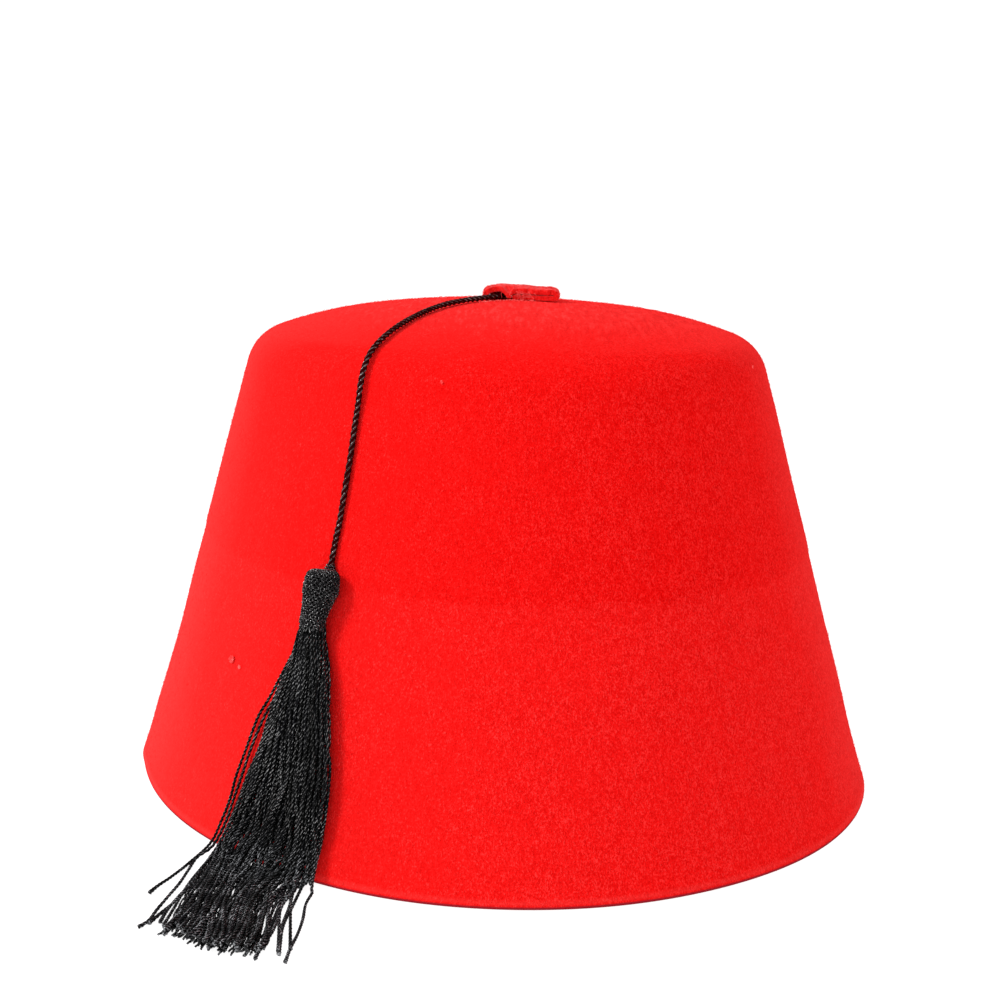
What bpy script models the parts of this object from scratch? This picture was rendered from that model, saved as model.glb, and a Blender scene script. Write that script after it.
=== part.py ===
"""Felt fez: a hollow red body, a folded tab on its top, and a black cord with a tassel.

Metres, +Z up. The origin is the centre of the rim, on the surface that the hat stands on. The cord
runs down the front left of the wall, and the tassel's skirt bends at the rim and lies on that
surface. A bearing is an angle about +Z, from the front (-Y) towards the left (-X).
"""

import math

import bmesh
import bpy
from mathutils import Vector

MM = 0.001
CLEARANCE = 0.3 * MM

# Felt body. The wall is a straight line in profile, the top an arc, and the shoulder an arc that
# touches both. TOP_RADIUS is where the wall's line and the top's arc would meet, and HEIGHT is the
# arc's highest point before the top's middle sinks a little.
RIM_RADIUS = 94.5 * MM
TOP_RADIUS = 63.5 * MM
HEIGHT = 121.4 * MM
DOME_RISE = 11.75 * MM
SINK_DEPTH = 1.85 * MM
SINK_RADIUS = 36.3 * MM
SHOULDER_RADIUS = 11.7 * MM
FELT_THICKNESS = 2.3 * MM
WALL_SLOPE = (RIM_RADIUS - TOP_RADIUS) / (HEIGHT - DOME_RISE)
WALL_ANGLE = math.atan(WALL_SLOPE)
DOME_RADIUS = (TOP_RADIUS**2 + DOME_RISE**2) / (2 * DOME_RISE)
LEAN = math.radians(1.48)
BODY_SHIFT = (-1.5 * MM, 1.0 * MM)
BODY_SIDES = 72
WALL_ROWS = 6
SHOULDER_ROWS = 5
DOME_ROWS = 8

# How far the soft rim is out of round; the crest is the bearing of a set's first lobe.
RIM_LOBE_COLUMNS = ("count", "depth_mm", "crest_degrees")
RIM_LOBES = (
    (2, 1.34, -45.0),
    (3, 1.83, 19.2),
)

# Tab: a felt strip folded over itself at its right end, with a short tunnel under its left end.
TAB_CENTRE = (-1.1 * MM, -0.6 * MM)
TAB_FELT = 1.15 * MM
TAB_DEPTH = 9.0 * MM
TAB_WAIST = 0.86
TAB_WAIST_WIDTH = 3.0 * MM
TAB_DEPTH_ROWS = 4
TAB_FOLD_CENTRE = (7.9 * MM, 1.33 * MM)
TAB_FOLD_RADIUS = 0.75 * MM
TAB_FOLD_STEPS = 6
TAB_LOWER_LINE = (-2.4 * MM, 1.0 * MM, 4.5 * MM)

# Middle line of the strip's upper layer, in millimetres, from the fold to the left foot.
TAB_UPPER_COLUMNS = ("across", "above_crown")
TAB_UPPER_LINE = (
    (5.0, 2.10),
    (1.6, 2.02),
    (-0.6, 2.00),
    (-2.6, 2.26),
    (-5.0, 2.52),
    (-7.2, 2.42),
    (-8.5, 1.92),
    (-9.0, 1.05),
    (-9.05, 0.0),
)

# Cord: its route from inside the tab's tunnel to the tassel's head, in millimetres.
CORD_DIAMETER = 1.35 * MM
CORD_STEP = 3.4 * MM
CORD_ROUTE = (
    (-5.4, -2.2, 120.55),
    (-7.4, -4.8, 120.45),
    (-10.4, -7.6, 120.2),
    (-14.9, -11.9, 119.7),
    (-19.3, -17.9, 119.0),
    (-23.3, -26.6, 117.95),
    (-26.9, -35.4, 116.5),
    (-30.1, -42.7, 114.6),
    (-32.5, -48.9, 112.5),
    (-34.2, -53.3, 110.2),
    (-35.2, -55.9, 107.2),
    (-35.8, -57.4, 103.6),
    (-36.1, -58.3, 99.6),
    (-36.5, -59.2, 95.7),
    (-36.9, -60.3, 91.4),
    (-37.3, -61.4, 87.2),
    (-37.8, -62.5, 83.0),
    (-38.3, -63.5, 78.8),
    (-38.8, -64.6, 74.4),
    (-39.2, -65.7, 70.2),
    (-39.7, -67.25, 64.45),
)

# Tassel, laid along the wall and then along the surface, in millimetres and degrees. "along" is
# measured down the wall and out along the surface, and is 0 at the rim; "left" and "right" are the
# bearings of its edges; "round" is 1 where the section is round and 0 where it is flat.
LOCK_COUNT = 12
BEND_LENGTH = 9.0
BACK_LIFT = 0.35
THIN_EDGE = 0.5
EDGE_ARCH = 0.03
EDGE_SHARE = 0.45
LOBE_DIP = 1.4
TASSEL_COLUMNS = ("along", "left", "right", "thick", "round")
TASSEL_ROWS = (
    (-66.7, 30.2, 26.9, 1.8, 1.0),
    (-65.6, 31.1, 25.9, 4.0, 1.0),
    (-63.4, 31.7, 25.3, 5.4, 1.0),
    (-60.4, 31.4, 25.6, 5.4, 1.0),
    (-56.6, 30.8, 26.5, 4.6, 1.0),
    (-53.6, 31.2, 26.8, 4.5, 0.7),
    (-49.0, 32.3, 26.2, 4.6, 0.3),
    (-43.0, 33.6, 25.3, 4.6, 0.0),
    (-35.0, 35.2, 24.3, 4.4, 0.0),
    (-24.0, 37.4, 23.4, 4.1, 0.0),
    (-13.0, 39.3, 23.3, 3.8, 0.0),
    (-3.0, 41.0, 23.5, 3.6, 0.0),
    (6.0, 40.4, 22.0, 3.4, 0.0),
    (14.0, 38.2, 20.3, 3.0, 0.0),
    (25.0, 35.2, 18.8, 2.6, 0.0),
    (39.0, 31.2, 17.4, 1.7, 0.0),
)
HEAD_STEPS = (0.0, 1.2, 2.6, 4.6)
BODY_STEPS = 22
TIP_STEPS = 6
TIP_WIDTH = 0.62
PARTED = 25.0
EDGE_PARTING = 10.0

# For each lock from the left: where its tip lies, and where it parts from the lock to its right.
LOCK_COLUMNS = ("tip", "parting")
LOCKS = (
    (38.6, -36.0),
    (34.0, 6.0),
    (34.6, 17.0),
    (37.2, 21.0),
    (36.0, 24.0),
    (36.6, 20.0),
    (36.8, 24.0),
    (31.8, 19.0),
    (30.8, 22.0),
    (33.2, 18.0),
    (31.0, 2.0),
    (31.2, EDGE_PARTING),
)

# One lock's section: a point's place across the lock, and its height as a share of the lock's rise,
# which is 0 on the back.
SECTION_COLUMNS = ("across", "rise")
SECTION = (
    (-1.0, 0.82),
    (-0.55, 0.96),
    (0.0, 1.0),
    (0.55, 0.96),
    (1.0, 0.82),
    (1.0, 0.0),
    (-1.0, 0.0),
)
FRONT_RIGHT = 4
BACK_RIGHT = 5
BACK_LEFT = 6


def clear_scene():
    """Remove every object from the scene."""
    for item in list(bpy.data.objects):
        bpy.data.objects.remove(item, do_unlink=True)


def principled(name, colour, roughness):
    """Return a Principled material with a plain colour and roughness."""
    material = bpy.data.materials.new(name)
    material.use_nodes = True
    shader = material.node_tree.nodes["Principled BSDF"]
    shader.inputs["Base Color"].default_value = (*colour, 1.0)
    shader.inputs["Roughness"].default_value = roughness
    shader.inputs["Metallic"].default_value = 0.0
    return material


def add_mesh(name, work, material):
    """Turn a bmesh into a named, smooth-shaded object and free it."""
    bmesh.ops.recalc_face_normals(work, faces=work.faces)
    mesh = bpy.data.meshes.new(name)
    work.to_mesh(mesh)
    work.free()
    mesh.shade_smooth()
    mesh.set_sharp_from_angle(angle=math.radians(50))
    mesh.materials.append(material)
    item = bpy.data.objects.new(name, mesh)
    bpy.context.scene.collection.objects.link(item)
    return item


def smooth_curve(points, steps):
    """Read a smooth curve through points, with the given number of steps between neighbours."""
    ends = [points[0] * 2 - points[1], *points, points[-1] * 2 - points[-2]]
    line = []
    for before, start, end, after in zip(ends, ends[1:], ends[2:], ends[3:]):
        for step in range(steps):
            t = step / steps
            line.append(
                0.5
                * (
                    2 * start
                    + (end - before) * t
                    + (2 * before - 5 * start + 4 * end - after) * t**2
                    + (3 * start - before - 3 * end + after) * t**3
                )
            )
    line.append(points[-1])
    return line


def even_points(line, step):
    """Pick points of a fine line at about even distances."""
    lengths = [0.0]
    for start, end in zip(line, line[1:]):
        lengths.append(lengths[-1] + (end - start).length)
    count = round(lengths[-1] / step)
    picked = []
    index = 0
    for number in range(count + 1):
        wanted = lengths[-1] * number / count
        while index < len(line) - 2 and lengths[index + 1] < wanted:
            index += 1
        share = (wanted - lengths[index]) / (lengths[index + 1] - lengths[index])
        picked.append(line[index].lerp(line[index + 1], share))
    return picked


def wall_radius(height):
    """Radius of the felt's outer side at a height, before the rim's lobes."""
    return RIM_RADIUS - WALL_SLOPE * height


def felt_point(bearing, radius, height):
    """Place a point of the round body on the leaning, slightly out-of-round hat."""
    share = min(max(height / HEIGHT, 0.0), 1.0)
    lobes = 0.0
    for count, depth, crest in RIM_LOBES:
        lobes += depth * MM * math.cos(count * (bearing - math.radians(crest)))
    radius += lobes * (1 - share) * radius / wall_radius(height)
    across = -radius * math.sin(bearing)
    return Vector((
        across - LEAN * height + BODY_SHIFT[0],
        -radius * math.cos(bearing) + BODY_SHIFT[1],
        height + share * LEAN * across,
    ))


def shoulder_centre():
    """Centre of the shoulder's arc, and the directions in which it meets the wall and the top."""
    outward = Vector((math.cos(WALL_ANGLE), math.sin(WALL_ANGLE)))
    upward = Vector((-math.sin(WALL_ANGLE), math.cos(WALL_ANGLE)))
    dome_centre = Vector((0.0, HEIGHT - DOME_RADIUS))
    start = Vector((RIM_RADIUS, 0.0)) - outward * SHOULDER_RADIUS - dome_centre
    half = start.dot(upward)
    rest = start.length_squared - (DOME_RADIUS - SHOULDER_RADIUS) ** 2
    centre = dome_centre + start + upward * (math.sqrt(half**2 - rest) - half)
    return centre, outward, (centre - dome_centre).normalized()


def sink(radius):
    """How far the soft top lies below its arc at a distance from the axis."""
    return SINK_DEPTH * math.exp(-((radius / SINK_RADIUS) ** 4))


def body_profile(inset):
    """Radius and height along the body, from the rim to the top's middle, inset into the felt."""
    centre, wall_side, dome_side = shoulder_centre()
    rim = RIM_RADIUS - inset / math.cos(WALL_ANGLE)
    wall_end = centre + wall_side * (SHOULDER_RADIUS - inset)
    profile = []
    for row in range(WALL_ROWS):
        height = wall_end.y * row / WALL_ROWS
        profile.append((rim - WALL_SLOPE * height, height))
    low = math.atan2(wall_side.y, wall_side.x)
    high = math.atan2(dome_side.y, dome_side.x)
    for row in range(SHOULDER_ROWS):
        angle = low + (high - low) * row / SHOULDER_ROWS
        reach = SHOULDER_RADIUS - inset
        profile.append((centre.x + reach * math.cos(angle), centre.y + reach * math.sin(angle)))
    for row in range(DOME_ROWS + 1):
        angle = high + (math.pi / 2 - high) * row / DOME_ROWS
        radius = (DOME_RADIUS - inset) * math.cos(angle)
        height = HEIGHT - DOME_RADIUS + (DOME_RADIUS - inset) * math.sin(angle)
        profile.append((radius, height - sink(radius)))
    return profile


def make_crown(material):
    """Hollow felt body: its profile, there and back, spun about the axis and then shaped."""
    work = bmesh.new()
    outer = body_profile(0.0)
    inner = body_profile(FELT_THICKNESS)
    outline = [work.verts.new((radius, 0.0, height)) for radius, height in reversed(outer)]
    outline += [work.verts.new((radius, 0.0, height)) for radius, height in inner]
    edges = [work.edges.new(pair) for pair in zip(outline, outline[1:])]
    bmesh.ops.spin(
        work, geom=outline + edges, axis=(0, 0, 1), cent=(0, 0, 0), angle=math.tau, steps=BODY_SIDES
    )
    bmesh.ops.remove_doubles(work, verts=work.verts, dist=0.001 * MM)
    for corner in work.verts:
        across, deep, height = corner.co
        bearing = math.atan2(-across, -deep)
        corner.co = felt_point(bearing, math.hypot(across, deep), height)
    return add_mesh("crown", work, material)


def crown_top(across, deep):
    """Height of the felt's outer side above a point near the top's middle."""
    local_x = across + LEAN * HEIGHT - BODY_SHIFT[0]
    local_y = deep - BODY_SHIFT[1]
    radius = math.hypot(local_x, local_y)
    drop = DOME_RADIUS - math.sqrt(DOME_RADIUS**2 - radius**2)
    return HEIGHT - drop - sink(radius) + LEAN * local_x


def strip_line():
    """Middle line of the tab's felt strip, from its lower end round the fold to the left foot."""
    level = TAB_FOLD_CENTRE[1] - TAB_FOLD_RADIUS
    line = [Vector((across, level)) for across in TAB_LOWER_LINE]
    for step in range(TAB_FOLD_STEPS + 1):
        angle = math.pi * (step / TAB_FOLD_STEPS - 0.5)
        turn = Vector((math.cos(angle), math.sin(angle))) * TAB_FOLD_RADIUS
        line.append(Vector(TAB_FOLD_CENTRE) + turn)
    upper = smooth_curve([line[-1]] + [Vector(spot) * MM for spot in TAB_UPPER_LINE], 3)
    return line + upper[1:]


def strip_outline():
    """Closed outline of the folded strip, half the felt's thickness to each side of its line."""
    line = strip_line()
    sides = ([], [])
    for number, spot in enumerate(line):
        ahead = line[min(number + 1, len(line) - 1)] - line[max(number - 1, 0)]
        normal = Vector((-ahead.y, ahead.x)).normalized() * TAB_FELT / 2
        sides[0].append(spot + normal)
        sides[1].append(spot - normal)
    return sides[0] + sides[1][::-1]


def make_stem_tab(material):
    """Folded felt tab: the strip's outline extruded across, pinched at its waist, on the dome."""
    work = bmesh.new()
    corners = [work.verts.new((spot.x, 0.0, spot.y)) for spot in strip_outline()]
    row = [work.faces.new(corners)]
    for _ in range(TAB_DEPTH_ROWS):
        grown = bmesh.ops.extrude_face_region(work, geom=row)["geom"]
        row = [part for part in grown if isinstance(part, bmesh.types.BMFace)]
        moved = [part for part in grown if isinstance(part, bmesh.types.BMVert)]
        bmesh.ops.translate(work, verts=moved, vec=(0.0, TAB_DEPTH / TAB_DEPTH_ROWS, 0.0))
    inner = []
    for face in work.faces:
        deep = [corner.co.y for corner in face.verts]
        if max(deep) - min(deep) < CLEARANCE and CLEARANCE < deep[0] < TAB_DEPTH - CLEARANCE:
            inner.append(face)
    bmesh.ops.delete(work, geom=inner, context="FACES_ONLY")
    for corner in work.verts:
        local_x = corner.co.x
        pinch = 1 - (1 - TAB_WAIST) * math.exp(-((local_x / TAB_WAIST_WIDTH) ** 2))
        across = local_x + TAB_CENTRE[0]
        deep = (corner.co.y - TAB_DEPTH / 2) * pinch + TAB_CENTRE[1]
        corner.co = (across, deep, corner.co.z + crown_top(across, deep) + CLEARANCE)
    return add_mesh("stem_tab", work, material)


def make_tassel_cord(material):
    """Plain round cord along its route, with closed ends."""
    route = [Vector(spot) * MM for spot in CORD_ROUTE]
    curve = bpy.data.curves.new("tassel_cord", "CURVE")
    curve.dimensions = "3D"
    curve.bevel_depth = CORD_DIAMETER / 2
    curve.bevel_resolution = 2
    curve.use_fill_caps = True
    spots = even_points(smooth_curve(route, 12), CORD_STEP)
    spline = curve.splines.new("POLY")
    spline.points.add(len(spots) - 1)
    for point, spot in zip(spline.points, spots):
        point.co = (*spot, 1.0)
    curve.materials.append(material)
    item = bpy.data.objects.new("tassel_cord", curve)
    bpy.context.scene.collection.objects.link(item)
    return item


def tassel_row(along):
    """Read the tassel's table at a distance along it, as smooth values by column."""
    spots = [Vector(row[:4]) for row in TASSEL_ROWS]
    ends = [spots[0] * 2 - spots[1], *spots, spots[-1] * 2 - spots[-2]]
    along = min(max(along, TASSEL_ROWS[0][0]), TASSEL_ROWS[-1][0])
    number = 0
    while number < len(TASSEL_ROWS) - 2 and TASSEL_ROWS[number + 1][0] < along:
        number += 1
    low, high = TASSEL_ROWS[number], TASSEL_ROWS[number + 1]
    t = (along - low[0]) / (high[0] - low[0])
    before, start, end, after = ends[number : number + 4]
    width = end[0] - start[0]
    slope_in = (end - before) / (end[0] - before[0]) * width
    slope_out = (after - start) / (after[0] - start[0]) * width
    value = (
        start * (2 * t**3 - 3 * t**2 + 1)
        + slope_in * (t**3 - 2 * t**2 + t)
        + end * (3 * t**2 - 2 * t**3)
        + slope_out * (t**3 - t**2)
    )
    roundness = low[4] + (high[4] - low[4]) * t
    return dict(zip(TASSEL_COLUMNS, (along, value[1], value[2], value[3], roundness)))


def drape_line(along):
    """Distance out from the rim, height and outward normal of the draped line, in millimetres."""
    wall = Vector((-math.sin(WALL_ANGLE), math.cos(WALL_ANGLE)))
    floor = Vector((1.0, 0.0))
    if along <= -BEND_LENGTH:
        spot, ahead = wall * -along, -wall
    elif along >= BEND_LENGTH:
        spot, ahead = floor * along, floor
    else:
        t = (along + BEND_LENGTH) / (2 * BEND_LENGTH)
        spot = wall * BEND_LENGTH * (1 - t) ** 2 + floor * BEND_LENGTH * t**2
        ahead = (floor * t - wall * (1 - t)).normalized()
    return spot, Vector((-ahead.y, ahead.x))


def draped_point(bearing, along, proud):
    """Point of the tassel at a bearing, a distance along it and a height off what it lies on."""
    spot, normal = drape_line(along)
    spot = spot + normal * proud
    return felt_point(math.radians(bearing), RIM_RADIUS + spot.x * MM, max(spot.y, 0.0) * MM)


def parting(number, side):
    """Where a lock's left (-1) or right (1) side comes free of the lock next to it."""
    if side > 0:
        return LOCKS[number][1]
    return LOCKS[number - 1][1] if number > 0 else EDGE_PARTING


def lock_width(number, side, along):
    """Half width of a lock on one side, as a share of the full half width."""
    start = parting(number, side)
    if along <= start:
        return 1.0
    share = min((along - start) / max(LOCKS[number][0] - start, 1.0), 1.0)
    return 1.0 - (1.0 - TIP_WIDTH) * math.sqrt(share)


def lock_section(number, along, at_top):
    """Points of one lock's section: left valley, front rise and right valley, then the back."""
    row = tassel_row(along)
    thick = row["thick"]
    lift = BACK_LIFT * min(max(1 - along / BEND_LENGTH, 0.0), 1.0)
    points = []
    for across, height in SECTION:
        side = 1 if across >= 0 else -1
        share = (number + 0.5 + across / 2 * lock_width(number, side, along)) / LOCK_COUNT
        arch = math.sqrt(max(1 - (2 * share - 1) ** 2, EDGE_ARCH))
        flat_rise = thick * (EDGE_SHARE + (1 - EDGE_SHARE) * arch)
        round_rise = thick * (1 + arch) / 2
        rise = flat_rise + (round_rise - flat_rise) * row["round"]
        if height > 0:
            proud = lift + max(rise * height, THIN_EDGE)
        else:
            proud = lift + row["round"] * thick / 2 * (1 - arch)
        dip = LOBE_DIP * (1 - abs(math.sin(math.tau * share))) if at_top else 0.0
        bearing = row["left"] + (row["right"] - row["left"]) * share
        points.append(draped_point(bearing, along + dip, proud))
    return points


def lock_stations(tip):
    """Distances along the tassel of one lock's sections: head, body, then its own tip."""
    head = TASSEL_ROWS[0][0]
    start = head + HEAD_STEPS[-1]
    stations = [head + step for step in HEAD_STEPS[:-1]]
    stations += [start + (PARTED - start) * step / BODY_STEPS for step in range(BODY_STEPS)]
    stations += [PARTED + (tip - PARTED) * step / TIP_STEPS for step in range(TIP_STEPS + 1)]
    return stations


def joined(number, side, along):
    """Whether a lock is one with its neighbour on that side, at a distance along the tassel."""
    inside = 0 <= number + side < LOCK_COUNT
    return inside and along < PARTED and along <= parting(number, side)


def make_tassel(material):
    """Head, neck and skirt in one body: locks side by side, joined until each one parts."""
    work = bmesh.new()
    rings = {}
    for number, (tip, _) in enumerate(LOCKS):
        stations = lock_stations(tip)
        for station, along in enumerate(stations):
            spots = lock_section(number, along, station == 0)
            if joined(number, -1, along):
                left = rings[number - 1, station][FRONT_RIGHT]
                left_back = rings[number - 1, station][BACK_RIGHT]
            else:
                left = work.verts.new(spots[0])
                left_back = work.verts.new(spots[BACK_LEFT])
            middle = [work.verts.new(spot) for spot in spots[1:BACK_LEFT]]
            rings[number, station] = [left, *middle, left_back]
        close_lock(work, rings, number, stations)
    return add_mesh("tassel", work, material)


def close_lock(work, rings, number, stations):
    """Faces of one lock: front, back, its free sides and its two ends."""
    work.faces.new(rings[number, 0])
    for station in range(len(stations) - 1):
        here = rings[number, station]
        ahead = rings[number, station + 1]
        for side in range(len(SECTION)):
            if side == FRONT_RIGHT and joined(number, 1, stations[station + 1]):
                continue
            if side == BACK_LEFT and joined(number, -1, stations[station + 1]):
                continue
            after = (side + 1) % len(SECTION)
            work.faces.new((here[side], here[after], ahead[after], ahead[side]))
    work.faces.new(rings[number, len(stations) - 1][::-1])


def build():
    """Make the four pieces of the hat."""
    clear_scene()
    felt = principled("red_felt", (0.78, 0.006, 0.006), 0.95)
    tab_felt = principled("red_tab_felt", (0.72, 0.006, 0.006), 0.95)
    cord = principled("black_cord", (0.012, 0.011, 0.012), 0.45)
    strands = principled("black_strands", (0.012, 0.012, 0.013), 0.4)
    make_crown(felt)
    make_stem_tab(tab_felt)
    make_tassel_cord(cord)
    make_tassel(strands)


build()
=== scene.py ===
"""Dress the felt fez: its felt body and nap, the folded tab, the twisted cord and the tassel.

Sizes in the classes are in millimetres and degrees, and the scene is in metres with +Z up. The
origin is the centre of the rim, on the surface that the hat stands on. A bearing is an angle about
+Z, from the front (-Y) towards the left (-X). "Along" is a distance down the wall and out along the
surface, 0 at the rim, and "proud" a distance off what a piece lies on. Materials read places as
shares of SPAN.
"""

import logging
import math
from collections.abc import Callable, Iterator, Sequence
from contextlib import contextmanager
from dataclasses import dataclass, field
from enum import Enum

import bpy
import numpy as np
from mathutils import Matrix, Vector


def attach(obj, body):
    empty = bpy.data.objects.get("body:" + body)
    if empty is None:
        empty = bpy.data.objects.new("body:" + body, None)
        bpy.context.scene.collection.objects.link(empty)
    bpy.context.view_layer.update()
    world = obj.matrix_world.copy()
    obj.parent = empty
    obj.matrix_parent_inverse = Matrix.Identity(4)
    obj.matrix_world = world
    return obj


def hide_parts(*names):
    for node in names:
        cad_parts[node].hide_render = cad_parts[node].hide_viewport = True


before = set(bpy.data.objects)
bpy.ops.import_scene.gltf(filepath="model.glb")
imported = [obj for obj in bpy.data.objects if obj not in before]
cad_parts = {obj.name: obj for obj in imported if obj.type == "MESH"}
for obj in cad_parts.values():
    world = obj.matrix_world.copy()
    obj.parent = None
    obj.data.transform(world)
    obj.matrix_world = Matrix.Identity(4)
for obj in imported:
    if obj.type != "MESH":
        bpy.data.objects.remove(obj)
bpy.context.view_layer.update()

MM = 0.001
IMAGE_SIDE = 1001
GOLDEN_ANGLE = math.pi * (3 - math.sqrt(5))
SPAN = 200.0
PRESSED_LINE = 60.6
WHITE = (1.0, 1.0, 1.0, 1.0)
Array = np.ndarray
Piece = bpy.types.Object
Triple = tuple[float, float, float]
Colour = Triple
Rows = tuple[tuple[float, ...], ...]
Outside = Callable[[Array], Array]
log = logging.getLogger("fez")


class Side(Enum):
    """Which side of the felt a profile follows."""

    OUTER = "outer"
    INNER = "inner"


class Turn(Enum):
    """Which way a yarn's plies wind."""

    LEFT = -1.0
    RIGHT = 1.0


EITHER_TURN = (Turn.RIGHT.value, Turn.RIGHT.value, Turn.LEFT.value)


# ---- tools


class Bench:
    """Blender's operators, used as by hand on one piece at a time."""

    @staticmethod
    def hold(piece: Piece) -> None:
        """Select one piece alone and make it the active one.

        Args:
            piece: The piece.
        """
        bpy.ops.object.select_all(action="DESELECT")
        piece.select_set(True)
        bpy.context.view_layer.objects.active = piece

    @staticmethod
    @contextmanager
    def editing(piece: Piece) -> Iterator[None]:
        """Work on one piece in edit mode, with all of it selected.

        Args:
            piece: The mesh object to edit.

        Returns:
            Nothing; the body of the with statement runs in edit mode.
        """
        Bench.hold(piece)
        bpy.ops.object.mode_set(mode="EDIT")
        bpy.ops.mesh.select_all(action="SELECT")
        try:
            yield
        finally:
            bpy.ops.object.mode_set(mode="OBJECT")

    @staticmethod
    def chain(name: str, spots: Array) -> Piece:
        """Draw a line of corners: a plane merged to one corner, then extruded spot by spot.

        Args:
            name: The new object's name.
            spots: The corners in metres, one row each.

        Returns:
            The new object, at the origin.
        """
        bpy.ops.object.select_all(action="DESELECT")
        bpy.ops.mesh.primitive_plane_add(size=MM, location=tuple(spots[0]))
        piece = bpy.context.object
        piece.name = name
        with Bench.editing(piece):
            bpy.ops.mesh.merge(type="CENTER")
            for step in np.diff(spots, axis=0):
                bpy.ops.mesh.extrude_vertices_move(TRANSFORM_OT_translate={"value": tuple(step)})
        Bench.settle(piece)
        return piece

    @staticmethod
    def settle(piece: Piece) -> None:
        """Put a piece's place into its mesh."""
        Bench.hold(piece)
        bpy.ops.object.transform_apply(location=True, rotation=True, scale=True)

    @staticmethod
    def close(piece: Piece, distance: float = 0.002 * MM) -> None:
        """Merge a piece's doubled corners and turn its faces outwards.

        Args:
            piece: The mesh object.
            distance: How near two corners are to be one, in metres.
        """
        with Bench.editing(piece):
            bpy.ops.mesh.remove_doubles(threshold=distance)
            bpy.ops.mesh.normals_make_consistent(inside=False)

    @staticmethod
    def finish(piece: Piece, kind: str, **settings: object) -> None:
        """Add one modifier with its settings and apply it.

        Args:
            piece: The mesh object.
            kind: The modifier's type.
            settings: The modifier's own settings by name.
        """
        Bench.hold(piece)
        modifier = piece.modifiers.new(kind.title(), kind)
        for name, value in settings.items():
            setattr(modifier, name, value)
        bpy.ops.object.modifier_apply(modifier=modifier.name)

    @staticmethod
    def corners(piece: Piece) -> Array:
        """Read a mesh's corners in millimetres, one row each.

        Args:
            piece: The mesh object.

        Returns:
            Its corners.
        """
        flat = np.empty(len(piece.data.vertices) * 3, dtype=np.float32)
        piece.data.vertices.foreach_get("co", flat)
        return flat.reshape(-1, 3).astype(float) / MM

    @staticmethod
    def reshape(piece: Piece, spots: Array) -> None:
        """Move a mesh's corners to new places, given in millimetres."""
        piece.data.vertices.foreach_set("co", (spots * MM).astype(np.float32).ravel())
        piece.data.update()

    @staticmethod
    def mesh(name: str, spots: Array, faces: list[tuple[int, ...]]) -> Piece:
        """Make one joined mesh from arrays.

        Args:
            name: The new object's name.
            spots: Corners in millimetres, one row each.
            faces: Each face's corner numbers.

        Returns:
            The new object, smooth-shaded.
        """
        data = bpy.data.meshes.new(name)
        data.from_pydata((spots * MM).tolist(), [], faces)
        data.shade_smooth()
        return Bench.add(name, data)

    @staticmethod
    def add(name: str, data: bpy.types.ID) -> Piece:
        """Put new data into the scene as an object.

        Args:
            name: The new object's name.
            data: Its mesh, curve, camera or light.

        Returns:
            The new object.
        """
        piece = bpy.data.objects.new(name, data)
        bpy.context.scene.collection.objects.link(piece)
        return piece


def catmull(points: Array, steps: int) -> Array:
    """Read a smooth curve through points.

    Args:
        points: The points, one row each.
        steps: How many steps lie between neighbours.

    Returns:
        The curve's points, from the first given point to the last.
    """
    ends = np.vstack([points[0] * 2 - points[1], points, points[-1] * 2 - points[-2]])
    t = (np.arange(steps) / steps)[None, :, None]
    before, start, end, after = (ends[k : len(ends) - 3 + k, None, :] for k in range(4))
    line = 0.5 * (
        2 * start
        + (end - before) * t
        + (2 * before - 5 * start + 4 * end - after) * t**2
        + (3 * start - before - 3 * end + after) * t**3
    )
    return np.vstack([line.reshape(-1, points.shape[1]), points[-1]])


def even(line: Array, step: float) -> Array:
    """Pick points of a fine line at even distances.

    Args:
        line: The line's points, one row each.
        step: The distance wanted, in the line's own unit.

    Returns:
        The picked points, both ends among them.
    """
    runs = np.concatenate([[0.0], np.cumsum(np.linalg.norm(np.diff(line, axis=0), axis=1))])
    wanted = np.linspace(0.0, runs[-1], max(2, round(runs[-1] / step) + 1))
    return np.stack([np.interp(wanted, runs, line[:, k]) for k in range(line.shape[1])], axis=1)


def ease(value: Array) -> Array:
    """Ease a value from 0 to 1, flat at both ends."""
    value = np.clip(value, 0.0, 1.0)
    return value * value * (3 - 2 * value)


def unit(rows: Array) -> Array:
    """Scale vectors to a length of 1."""
    return rows / np.linalg.norm(rows, axis=-1, keepdims=True)


def hump(value: Array, middle: float, width: float) -> Array:
    """Fade from 1 at a middle value to 0 on both sides of it."""
    return np.exp(-(((value - middle) / width) ** 2))


def relax(rows: Array, share: float) -> None:
    """Draw each row but the end ones towards the middle of its neighbours, by a share."""
    rows[1:-1] += ((rows[:-2] + rows[2:]) / 2 - rows[1:-1]) * share


# ---- shading


def operator(operation: str, swapped: bool = False) -> Callable[["Term", object], "Term"]:
    """Make a Python operator that adds one Math node.

    Args:
        operation: The node's operation.
        swapped: Whether the other value comes first.

    Returns:
        The operator's method.
    """

    def act(self: "Term", other: "Term | float") -> "Term":
        """Combine a term with a term or a number."""
        return self.maths(operation, *((other, self) if swapped else (self, other)))

    return act


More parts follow.
